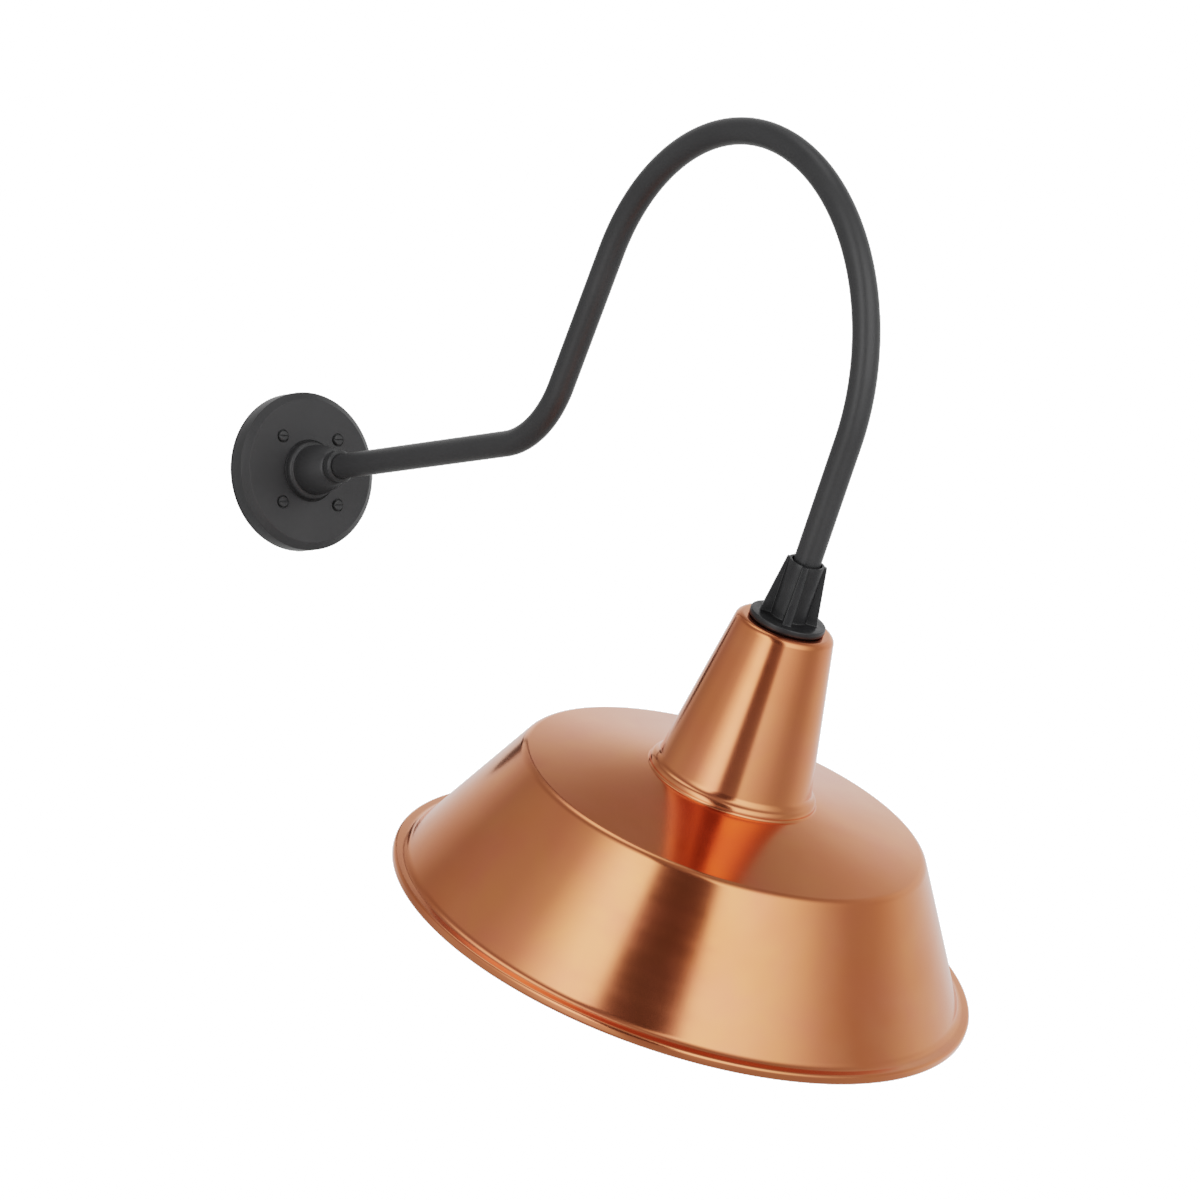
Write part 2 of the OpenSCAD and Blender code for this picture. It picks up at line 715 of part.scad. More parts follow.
module lamp_holder_body() {
    shoulder = 6;
    lip_round = 2;
    color("#eeece4") on_shade() difference() {
        rotate_extrude() polygon(concat([[0, body_z], [body_d / 2 - lip_round, body_z]],
            arc([body_d / 2 - lip_round, body_z + lip_round], lip_round, -90, 0, corner_steps),
            [[body_d / 2, body_top - shoulder], [body_d / 2 - shoulder, body_top], [0, body_top]]));
        translate([0, 0, body_z - joined]) cylinder(h = lip_depth + joined, d = lip_d);
        translate([0, 0, shell_z - joined]) cylinder(h = shell_h + gap, r = shell_r + shell_t + gap);
        translate([0, 0, chamber_z]) cylinder(h = chamber_h, d = chamber_d);
        translate([0, 0, chamber_top - joined]) cylinder(h = body_h, r = stub_d / 2 + running);
        translate([0, 0, shell_top]) cylinder(h = chamber_z - shell_top + joined, r = rivet_hole_r);
        translate([strap_x - gap, -strap_w / 2 - gap, shell_top])
            cube([strap_t + 2 * gap, strap_w + 2 * gap, chamber_h]);
        for (side = [0, 180]) rotate([0, 0, side]) translate([strap_x, 0, terminal_z])
            rotate([0, 90, 0]) cylinder(h = body_d, r = terminal_hole_r);
    }
}

// Outline of a knuckle thread as [radius, height] points, with grooves depth deep
function knuckles(r, depth, low, high, count) = [for (i = [0:count * 8])
    [r - depth / 2 * (1 - cos(i * 45)), low + (high - low) * i / (count * 8)]];

module screw_shell() {
    groove = shell_t * 0.6;
    color("#d8b86a") on_shade() rotate_extrude() polygon(concat(
        [[shell_r, shell_z]],
        knuckles(shell_r + shell_t, groove, shell_z, shell_top - shell_collar, thread_turns),
        [[shell_r + shell_t, shell_top], [shell_flange_r, shell_top],
         [shell_flange_r, shell_top - shell_t], [shell_r, shell_top - shell_t]]));
}

module centre_contact() {
    color("#d8b86a") on_shade() {
        translate([0, 0, contact_z]) cylinder(h = shell_top - contact_z, r = contact_r);
        translate([0, 0, shell_top - joined])
            cylinder(h = chamber_z - shell_top + joined, r = rivet_r);
    }
}

// An upright brass plate inside the wiring chamber, with its screw hole
module strap_plate(low) {
    difference() {
        translate([strap_x, -strap_w / 2, low]) cube([strap_t, strap_w, strap_top - low]);
        translate([0, 0, terminal_z]) rotate([0, 90, 0])
            cylinder(h = body_d, r = terminal_shank_d / 2 + running);
    }
}

module line_strap() {
    color("#d8b86a") on_shade() rotate([0, 0, 180]) {
        strap_plate(chamber_z);
        translate([-bridge_w / 2, -bridge_w / 2, chamber_z])
            cube([strap_x + bridge_w / 2 + joined, bridge_w, strap_t]);
    }
}

module neutral_strap() {
    color("#d8dadd") on_shade() strap_plate(shell_top);
}

module terminal_screws() {
    color("#c9a95c") on_shade() for (side = [0, 180]) rotate([0, 0, side])
        translate([strap_x + strap_t, 0, terminal_z]) rotate([0, 90, 0])
            slotted_screw(terminal_head_d, terminal_head_h, terminal_shank_d, terminal_shank_len);
}

// A short lead from the sleeve to its terminal screw, in the shade frame
module tail(side) {
    bend_to = terminal_z + lead_bend;
    end_x = strap_x + strap_t - terminal_shank_len - gap;
    on_shade() {
        translate([side * lead_offset, 0, bend_to]) cylinder(h = leads_end - gap - bend_to, d = lead_d);
        translate([side * (lead_offset + lead_bend), 0, bend_to]) rotate([90, 0, 0])
            rotate([0, 0, side > 0 ? 180 : 270]) rotate_extrude(angle = 90)
                translate([lead_bend, 0]) circle(d = lead_d, $fn = 32);
        translate([side * (lead_offset + lead_bend), 0, terminal_z]) rotate([0, side * 90, 0])
            cylinder(h = end_x - lead_offset - lead_bend, d = lead_d);
    }
}

module line_tail() {
    color("#1c1c1e") tail(-1);
}

module neutral_tail() {
    color("#e8e8e4") tail(1);
}

// Outline of the bulb's glass, inset from its outer face, as [radius, height] points
function globe_outline(inset) =
    let (r = globe_r - inset, a = glass_lean)
    concat([[0, globe_z - r]], arc([0, globe_z], r, -88, a, 40),
        curve([r * cos(a), globe_z + r * sin(a)],
              [glass_neck_r - inset, globe_z + r * sin(a) + (r * cos(a) - glass_neck_r + inset) / tan(a)],
              [glass_neck_r - inset, cap_z], 14));

module bulb_glass() {
    color("#f3f1ea") on_shade() rotate_extrude()
        polygon(concat(globe_outline(0), reversed(globe_outline(glass_t))));
}

module bulb_stem() {
    flare_r = glass_neck_r - glass_t - 0.1;
    color("#e9eef0") on_shade() {
        translate([0, 0, cap_z - stem_len])
            cylinder(h = stem_flare_z - cap_z + stem_len + joined, r = stem_r);
        translate([0, 0, stem_flare_z]) cylinder(h = stem_flare_h, r1 = stem_r, r2 = flare_r);
    }
}

module bulb_filament() {
    reach = 14;
    lean = 130;
    color("#8a8a8c") on_shade() translate([0, 0, filament_z]) {
        for (side = [0:90:180]) rotate([0, 0, side]) rotate([0, lean, 0]) cylinder(h = reach, r = wire_r);
        translate([0, 0, reach * cos(lean)]) rotate_extrude(angle = 180)
            translate([reach * sin(lean) - wire_r, 0]) circle(r = coil_r, $fn = 24);
    }
}

module bulb_cap() {
    inner = glass_neck_r - cap_wall;
    color("#c9ccd0") on_shade() rotate_extrude() polygon(concat(
        [[glass_neck_r, cap_z]],
        knuckles(cap_d / 2, cap_thread, cap_z + cap_collar, cap_top, thread_turns),
        [[cap_end_r, cap_top + cap_end_h], [cap_end_r - cap_wall, cap_top + cap_end_h],
         [inner, cap_top - cap_wall], [inner, cap_z]]));
}

module bulb_insulator() {
    color("#26221f") on_shade() translate([0, 0, cap_top])
        cylinder(h = insulator_h, r1 = insulator_r, r2 = tip_d / 2);
}

module bulb_contact() {
    color("#c9ccd0") on_shade() translate([0, 0, cap_top + insulator_h])
        cylinder(h = tip_h, r1 = tip_d / 2, r2 = tip_d / 2 - tip_edge);
}

wall_gasket();
mounting_plate();
canopy();
canopy_screws();
ground_screw();
ground_lead();
ground_splice_cap();
hub_set_screw();
arm_tube();
arm_collar();
arm_washer();
arm_locknut();
black_lead();
white_lead();
splice_caps();
lead_sleeve();
shade_holder();
holder_set_screw();
neck_gasket();
shade();
shade_washer();
shade_locknut();
lamp_holder_body();
screw_shell();
centre_contact();
line_strap();
neutral_strap();
terminal_screws();
line_tail();
neutral_tail();
bulb_glass();
bulb_stem();
bulb_filament();
bulb_cap();
bulb_insulator();
bulb_contact();
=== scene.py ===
"""A gooseneck barn light with a spun copper shade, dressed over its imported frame.

The pieces that show are drawn in finer shapes than the frame's nodes and stand for
them. Every piece gets its own finish, and the studio and the camera follow the
photograph. Lengths are in metres. The row frame has its origin on the wall, at the
middle of the canopy's back: +Z is up and the arm reaches out along -Y.
"""

import logging
import math
from collections.abc import Iterable, Sequence
from dataclasses import dataclass
from enum import Enum
from typing import Any

import bmesh
import bpy
from mathutils import Matrix, Vector


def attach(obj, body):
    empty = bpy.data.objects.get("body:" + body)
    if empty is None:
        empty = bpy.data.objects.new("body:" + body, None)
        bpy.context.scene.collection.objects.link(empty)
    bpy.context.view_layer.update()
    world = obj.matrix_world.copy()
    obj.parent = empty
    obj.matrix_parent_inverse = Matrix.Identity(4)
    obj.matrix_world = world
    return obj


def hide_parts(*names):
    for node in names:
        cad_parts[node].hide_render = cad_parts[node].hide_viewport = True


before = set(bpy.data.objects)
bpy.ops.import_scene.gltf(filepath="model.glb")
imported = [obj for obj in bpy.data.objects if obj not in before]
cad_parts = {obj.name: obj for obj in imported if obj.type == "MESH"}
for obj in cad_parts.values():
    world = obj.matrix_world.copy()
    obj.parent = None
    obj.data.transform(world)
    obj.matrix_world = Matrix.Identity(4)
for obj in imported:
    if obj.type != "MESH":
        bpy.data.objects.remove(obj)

LOG = logging.getLogger("barn_light")
MM = 0.001
# Points of a drawn skin that lie closer than this are one.
WELD = 0.002 * MM
# Edges that bend more than this many degrees stay sharp, on most pieces and on long curves.
SHARP = 38.0
SHARP_ON_CURVES = 60.0

Point = tuple[float, float]
Rgb = tuple[float, float, float]


class Ends(Enum):
    """How an outline's two ends lie."""

    JOINED = "joined"
    OPEN = "open"


class Blend(Enum):
    """What one shape does to another that it crosses."""

    CUT = "DIFFERENCE"
    JOIN = "UNION"


class Look(Enum):
    """The light's finishes, by the names of their materials."""

    CHARCOAL = "charcoal_coat"
    CASTING = "black_casting"
    COPPER = "spun_copper"
    BLACKENED = "blackened_steel"
    ZINC = "zinc_plate"
    RUBBER = "gasket_rubber"
    CHROMATE = "green_chromate"
    GREEN_LEAD = "green_insulation"
    BLACK_LEAD = "black_insulation"
    WHITE_LEAD = "white_insulation"
    PLASTIC = "cream_plastic"
    PORCELAIN = "glazed_porcelain"
    BRASS = "rolled_brass"
    NICKEL = "nickel_plate"
    FROSTED = "frosted_glass"
    CLEAR = "stem_glass"
    WIRE = "support_wire"
    INSULATOR = "cap_insulator"


# Outlines


def arc(centre: Point, radius: float, start: float, end: float, steps: int) -> list[Point]:
    """Points on an arc.

    Args:
        centre: The arc's centre.
        radius: Its radius.
        start: Angle of the first point, in degrees.
        end: Angle of the last point, in degrees.
        steps: How many steps lie between them.

    Returns:
        The points from start to end.
    """
    angles = [math.radians(start + (end - start) * i / steps) for i in range(steps + 1)]
    return [(centre[0] + radius * math.cos(a), centre[1] + radius * math.sin(a)) for a in angles]


def rounded(corners: Sequence[tuple[float, float, float]], ends: Ends = Ends.JOINED, steps: int = 5) -> list[Point]:
    """Rounds the corners of an outline.

    Args:
        corners: Each corner as its two places and the radius of its rounding.
        ends: Whether the last corner joins the first. The ends of an open outline stay square.
        steps: Steps in each rounding.

    Returns:
        The rounded outline's points.
    """
    outline: list[Point] = []
    count = len(corners)
    for i, (x, y, radius) in enumerate(corners):
        if radius <= 0 or (ends is Ends.OPEN and i in (0, count - 1)):
            outline.append((x, y))
            continue
        here = Vector((x, y))
        back = (Vector(corners[i - 1][:2]) - here).normalized()
        ahead = (Vector(corners[(i + 1) % count][:2]) - here).normalized()
        half = back.angle(ahead) / 2
        middle = here + (back + ahead).normalized() * (radius / math.sin(half))
        first = here + back * (radius / math.tan(half)) - middle
        last = here + ahead * (radius / math.tan(half)) - middle
        start = math.degrees(math.atan2(first.y, first.x))
        turn = (math.degrees(math.atan2(last.y, last.x)) - start + 180) % 360 - 180
        outline += arc((middle.x, middle.y), radius, start, start + turn, steps)
    return outline


def bezier(a: Point, b: Point, c: Point, steps: int) -> list[Point]:
    """Points on a curve that bends once.

    Args:
        a: Its start.
        b: The point that it leaves its start towards and comes to its end from.
        c: Its end.
        steps: How many steps lie between them.

    Returns:
        The points from start to end.
    """
    return [
        tuple((1 - t) ** 2 * p + 2 * t * (1 - t) * q + t * t * r for p, q, r in zip(a, b, c))
        for t in (i / steps for i in range(steps + 1))
    ]


def box_shape(centre: Vector, size: Vector) -> tuple[list[Vector], list[Sequence[int]], list[Sequence[int]]]:
    """The shape of a box.

    Args:
        centre: Its middle.
        size: Its three lengths.

    Returns:
        Its points, no loose edges, and its faces.
    """
    points = [centre + Vector((x * size.x, y * size.y, z * size.z)) / 2
              for x in (-1, 1) for y in (-1, 1) for z in (-1, 1)]
    faces = [(0, 1, 3, 2), (4, 6, 7, 5), (0, 4, 5, 1), (2, 3, 7, 6), (0, 2, 6, 4), (1, 5, 7, 3)]
    return points, [], faces


# Node trees


class Sheet:
    """Adds nodes to one node tree and links them."""

    def __init__(self, tree: bpy.types.NodeTree) -> None:
        """Takes the tree to fill."""
        self.tree = tree

    def add(self, kind: str, inputs: dict[Any, Any] | None = None, **settings: Any) -> bpy.types.Node:
        """Adds a node.

        Args:
            kind: The node's type.
            inputs: A value or another node's socket for each input, by name or number.
            settings: The node's own properties.

        Returns:
            The new node.
        """
        node = self.tree.nodes.new(kind)
        for name, value in settings.items():
            setattr(node, name, value)
        for name, value in (inputs or {}).items():
            if isinstance(value, bpy.types.NodeSocket):
                self.tree.links.new(value, node.inputs[name])
            else:
                node.inputs[name].default_value = value
        return node

    def math(self, operation: str, a: Any, b: Any = 0.0, clamp: bool = False) -> bpy.types.NodeSocket:
        """Adds a Math node and returns its result."""
        return self.add("ShaderNodeMath", {0: a, 1: b}, operation=operation, use_clamp=clamp).outputs[0]

    def mix(self, factor: Any, a: Any, b: Any) -> bpy.types.NodeSocket:
        """Mixes two colours and returns the result."""
        return self.add("ShaderNodeMix", {0: factor, 6: a, 7: b}, data_type="RGBA").outputs[2]

    def noise(self, vector: Any, scale: Any, detail: float, roughness: float = 0.5,
              distortion: float = 0.0) -> bpy.types.NodeSocket:
        """Adds a noise texture and returns its value.

        Args:
            vector: Where in the noise to look.
            scale: How many of its patches fit in a metre.
            detail: How many finer layers lie over the first.
            roughness: How strong each layer is against the one before.
            distortion: How far the patches are pulled out of shape.

        Returns:
            The noise, from 0 to 1.
        """
        inputs = {"Vector": vector, "Scale": scale, "Detail": detail, "Roughness": roughness,
                  "Distortion": distortion}
        return self.add("ShaderNodeTexNoise", inputs).outputs["Fac"]

    def ramp(self, value: Any, stops: Sequence[tuple[float, Rgb]]) -> bpy.types.NodeSocket:
        """Adds a colour ramp and returns its colour.

        Args:
            value: Where on the ramp to look.
            stops: Each stop's place, from 0 to 1 and rising, and colour.

        Returns:
            The ramp's colour.
        """
        node = self.add("ShaderNodeValToRGB", {0: value})
        elements = node.color_ramp.elements
        while len(elements) < len(stops):
            elements.new(0.5)
        for element, (place, color) in zip(elements, stops):
            element.position, element.color = place, (*color, 1.0)
        return node.outputs[0]

    def spread(self, value: Any, low: float, high: float, to_low: float, to_high: float) -> bpy.types.NodeSocket:
        """Maps a value from one range to another and returns it."""
        inputs = {0: value, 1: low, 2: high, 3: to_low, 4: to_high}
        return self.add("ShaderNodeMapRange", inputs).outputs[0]


def new_group(name: str, kind: str, sockets: Iterable[tuple[str, str, str, Any]]) -> tuple[bpy.types.NodeTree, Sheet]:
    """Starts a node group.

    Args:
        name: The group's name.
        kind: ShaderNodeTree or GeometryNodeTree.
        sockets: Each socket's name, INPUT or OUTPUT, type and default value.

    Returns:
        The group's tree and the sheet that fills it.
    """
    tree = bpy.data.node_groups.new(name, kind)
    for label, direction, socket_type, default in sockets:
        socket = tree.interface.new_socket(label, in_out=direction, socket_type=socket_type)
        if default is not None:
            socket.default_value = default
    return tree, Sheet(tree)


class Effects:
    """The shader node groups that several finishes share."""

    PATCH_CONTRAST = 2.2
    # How far turning marks drift as they go round, and how far they lean as they go out.
    DRIFT = 0.004
    MARK_LEAN = 0.7

    def __init__(self) -> None:
        """Builds each group once."""
        self.clouding = self._clouding()
        self.grain = self._grain()
        self.turning = self._turning()

    @staticmethod
    def _clouding() -> bpy.types.NodeTree:
        """Soft patches, as handling, heat and age leave them on a surface.

        Returns:
            The group, which puts out a mask.
        """
        tree, sheet = new_group("clouding", "ShaderNodeTree", [
            ("Vector", "INPUT", "NodeSocketVector", None),
            ("Size", "INPUT", "NodeSocketFloat", 0.05),
            ("Mask", "OUTPUT", "NodeSocketFloat", None)])
        given, out = sheet.add("NodeGroupInput"), sheet.add("NodeGroupOutput")
        scale = sheet.math("DIVIDE", 1.0, given.outputs["Size"])
        broad = sheet.noise(given.outputs["Vector"], scale, detail=3.0, roughness=0.55, distortion=0.4)
        strong = sheet.math("MULTIPLY", sheet.math("SUBTRACT", broad, 0.5), Effects.PATCH_CONTRAST)
        tree.links.new(sheet.math("ADD", strong, 0.5, clamp=True), out.inputs["Mask"])
        return tree

    @staticmethod
    def _grain() -> bpy.types.NodeTree:
        """Fine pebbling of paint, casting or glaze.

        Returns:
            The group, which puts out a height and a mask.
        """
        tree, sheet = new_group("grain", "ShaderNodeTree", [
            ("Vector", "INPUT", "NodeSocketVector", None),
            ("Size", "INPUT", "NodeSocketFloat", 0.001),
            ("Height", "OUTPUT", "NodeSocketFloat", None),
            ("Mask", "OUTPUT", "NodeSocketFloat", None)])
        given, out = sheet.add("NodeGroupInput"), sheet.add("NodeGroupOutput")
        scale = sheet.math("DIVIDE", 1.0, given.outputs["Size"])
        pebbles = sheet.noise(given.outputs["Vector"], scale, detail=2.0, roughness=0.6)
        coarse = sheet.noise(given.outputs["Vector"], sheet.math("MULTIPLY", scale, 0.12), detail=2.0)
        tree.links.new(pebbles, out.inputs["Height"])
        tree.links.new(sheet.spread(coarse, 0.3, 0.7, 0.0, 1.0), out.inputs["Mask"])
        return tree

    @staticmethod
    def _turning() -> bpy.types.NodeTree:
        """Fine rings about the vector's z axis, as spinning and polishing leave them.

        Returns:
            The group, which puts out a height and a mask.
        """
        tree, sheet = new_group("turning marks", "ShaderNodeTree", [
            ("Vector", "INPUT", "NodeSocketVector", None),
            ("Spacing", "INPUT", "NodeSocketFloat", 0.0008),
            ("Height", "OUTPUT", "NodeSocketFloat", None),
            ("Mask", "OUTPUT", "NodeSocketFloat", None)])
        given, out = sheet.add("NodeGroupInput"), sheet.add("NodeGroupOutput")
        axes = sheet.add("ShaderNodeSeparateXYZ", {0: given.outputs["Vector"]})
        squares = sheet.math("ADD", sheet.math("POWER", axes.outputs[0], 2.0),
                             sheet.math("POWER", axes.outputs[1], 2.0))
        radius = sheet.math("SQRT", squares)
        # Marks run at one height and one radius, and drift a little as they go round.
        place = sheet.add("ShaderNodeCombineXYZ", {
            0: sheet.math("MULTIPLY", axes.outputs[0], Effects.DRIFT),
            1: sheet.math("MULTIPLY", axes.outputs[1], Effects.DRIFT),
            2: sheet.math("SUBTRACT", axes.outputs[2], sheet.math("MULTIPLY", radius, Effects.MARK_LEAN))})
        scale = sheet.math("DIVIDE", 1.0, given.outputs["Spacing"])
        fine = sheet.noise(place.outputs[0], scale, detail=3.0, roughness=0.65)
        broad = sheet.noise(place.outputs[0], sheet.math("MULTIPLY", scale, 0.07), detail=2.0)
        tree.links.new(fine, out.inputs["Height"])
        tree.links.new(sheet.spread(broad, 0.3, 0.7, 0.0, 1.0), out.inputs["Mask"])
        return tree


# Finishes


@dataclass(frozen=True)
class Finish:
    """A finish with a plain coloured body, fine grain and soft clouding."""

    look: Look
    color: Rgb
    clouded: Rgb
    roughness: float
    metallic: float = 0.0
    coat: float = 0.0
    coat_roughness: float = 0.1
    specular: float = 0.5
    grain_size: float = 0.9 * MM
    grain_depth: float = 0.02 * MM
    cloud_size: float = 30 * MM
    roughness_swing: float = 0.06
    turn: Matrix | None = None

    def build(self, effects: Effects) -> bpy.types.Material:
        """Makes the material.

        Args:
            effects: The shared node groups.

        Returns:
            The new material.
        """
        material = bpy.data.materials.new(self.look.value)
        material.use_nodes = True
        material.node_tree.nodes.clear()
        sheet = Sheet(material.node_tree)
        shader = sheet.add("ShaderNodeBsdfPrincipled", {
            "Metallic": self.metallic, "Coat Weight": self.coat, "Coat Roughness": self.coat_roughness,
            "Specular IOR Level": self.specular})
        sheet.add("ShaderNodeOutputMaterial", {"Surface": shader.outputs["BSDF"]})
        self.dress(sheet, shader, self.place(sheet), effects)
        material.diffuse_color = (*self.color, 1.0)
        return material

    def place(self, sheet: Sheet) -> bpy.types.NodeSocket:
        """The pattern's coordinates, turned to the piece's own axis where it has one.

        Args:
            sheet: The material's nodes.

        Returns:
            The coordinates.
        """
        coordinates = sheet.add("ShaderNodeTexCoord").outputs["Object"]
        if self.turn is None:
            return coordinates
        mapping = sheet.add("ShaderNodeMapping", {
            "Vector": coordinates, "Location": self.turn.to_translation(),
            "Rotation": self.turn.to_euler()}, vector_type="TEXTURE")
        return mapping.outputs["Vector"]

    def dress(self, sheet: Sheet, shader: bpy.types.Node, vector: bpy.types.NodeSocket, effects: Effects) -> None:
        """Feeds the shader's colour, roughness and normal.

        Args:
            sheet: The material's nodes.
            shader: Its shader.
            vector: The pattern's coordinates.
            effects: The shared node groups.
        """
        cloud = sheet.add("ShaderNodeGroup", {"Vector": vector, "Size": self.cloud_size},
                          node_tree=effects.clouding)
        grain = sheet.add("ShaderNodeGroup", {"Vector": vector, "Size": self.grain_size},
                          node_tree=effects.grain)
        color = sheet.mix(cloud.outputs["Mask"], (*self.color, 1.0), (*self.clouded, 1.0))
        roughness = self.swing(sheet, grain.outputs["Mask"])
        self.feed(sheet, shader, color, roughness, grain.outputs["Height"], self.grain_depth)

    def swing(self, sheet: Sheet, mask: bpy.types.NodeSocket) -> bpy.types.NodeSocket:
        """The roughness, which goes up and down with a mask."""
        low, high = self.roughness - self.roughness_swing, self.roughness + self.roughness_swing
        return sheet.spread(mask, 0.0, 1.0, low, high)

    @staticmethod
    def feed(sheet: Sheet, shader: bpy.types.Node, color: bpy.types.NodeSocket, roughness: bpy.types.NodeSocket,
             height: bpy.types.NodeSocket, depth: float) -> None:
        """Links a colour, a roughness and a bump to the shader.

        Args:
            sheet: The material's nodes.
            shader: Its shader.
            color: The colour.
            roughness: The roughness.
            height: The bump's height, from 0 to 1.
            depth: How deep the bump is.
        """
        bump = sheet.add("ShaderNodeBump", {"Strength": 1.0, "Distance": depth, "Height": height})
        sockets = {"Base Color": color, "Roughness": roughness, "Normal": bump.outputs["Normal"]}
        for name, socket in sockets.items():
            sheet.tree.links.new(socket, shader.inputs[name])


@dataclass(frozen=True)
class TurnedMetal(Finish):
    """Metal that was spun, turned or polished about an axis."""

    mark_spacing: float = 0.8 * MM
    mark_depth: float = 0.012 * MM
    cloud_swing: float = 0.03
    deep: Rgb = (0.0, 0.0, 0.0)
    deep_size: float = 90 * MM
    deep_start: float = 0.35
    deep_share: float = 0.8

    def dress(self, sheet: Sheet, shader: bpy.types.Node, vector: bpy.types.NodeSocket, effects: Effects) -> None:
        """Feeds the shader's colour, roughness and normal from clouding and turning marks.

        Args:
            sheet: The material's nodes.
            shader: Its shader.
            vector: The pattern's coordinates.
            effects: The shared node groups.
        """
        small, large = (sheet.add("ShaderNodeGroup", {"Vector": vector, "Size": size}, node_tree=effects.clouding)
                        for size in (self.cloud_size, self.deep_size))
        marks = sheet.add("ShaderNodeGroup", {"Vector": vector, "Spacing": self.mark_spacing},
                          node_tree=effects.turning)
        color = sheet.mix(small.outputs["Mask"], (*self.color, 1.0), (*self.clouded, 1.0))
        if any(self.deep):
            share = sheet.spread(large.outputs["Mask"], self.deep_start, 1.0, 0.0, self.deep_share)
            color = sheet.mix(share, color, (*self.deep, 1.0))
        clouding = sheet.spread(small.outputs["Mask"], 0.0, 1.0, -self.cloud_swing, self.cloud_swing)
        roughness = sheet.math("ADD", self.swing(sheet, marks.outputs["Mask"]), clouding)
        self.feed(sheet, shader, color, roughness, marks.outputs["Height"], self.mark_depth)


@dataclass(frozen=True)
class Glass(Finish):
    """Clear or frosted glass."""

    transmission: float = 1.0
    ior: float = 1.5

    def dress(self, sheet: Sheet, shader: bpy.types.Node, vector: bpy.types.NodeSocket, effects: Effects) -> None:
        """Lets the light through the shader, under the plain finish's colour and grain.

        Args:
            sheet: The material's nodes.
            shader: Its shader.
            vector: The pattern's coordinates.
            effects: The shared node groups.
        """
        super().dress(sheet, shader, vector, effects)
        shader.inputs["Transmission Weight"].default_value = self.transmission
        shader.inputs["IOR"].default_value = self.ior


# Geometry Nodes trees


def set_input(modifier: bpy.types.NodesModifier, name: str, value: Any) -> None:
    """Sets a modifier's input.

    Args:
        modifier: The modifier.
        name: The input's name in its tree.
        value: What it gets.

    Raises:
        KeyError: The tree has no such input.
    """
    for item in modifier.node_group.interface.items_tree:
        if item.item_type == "SOCKET" and item.in_out == "INPUT" and item.name == name:
            modifier[item.identifier] = value
            return
    raise KeyError(name)


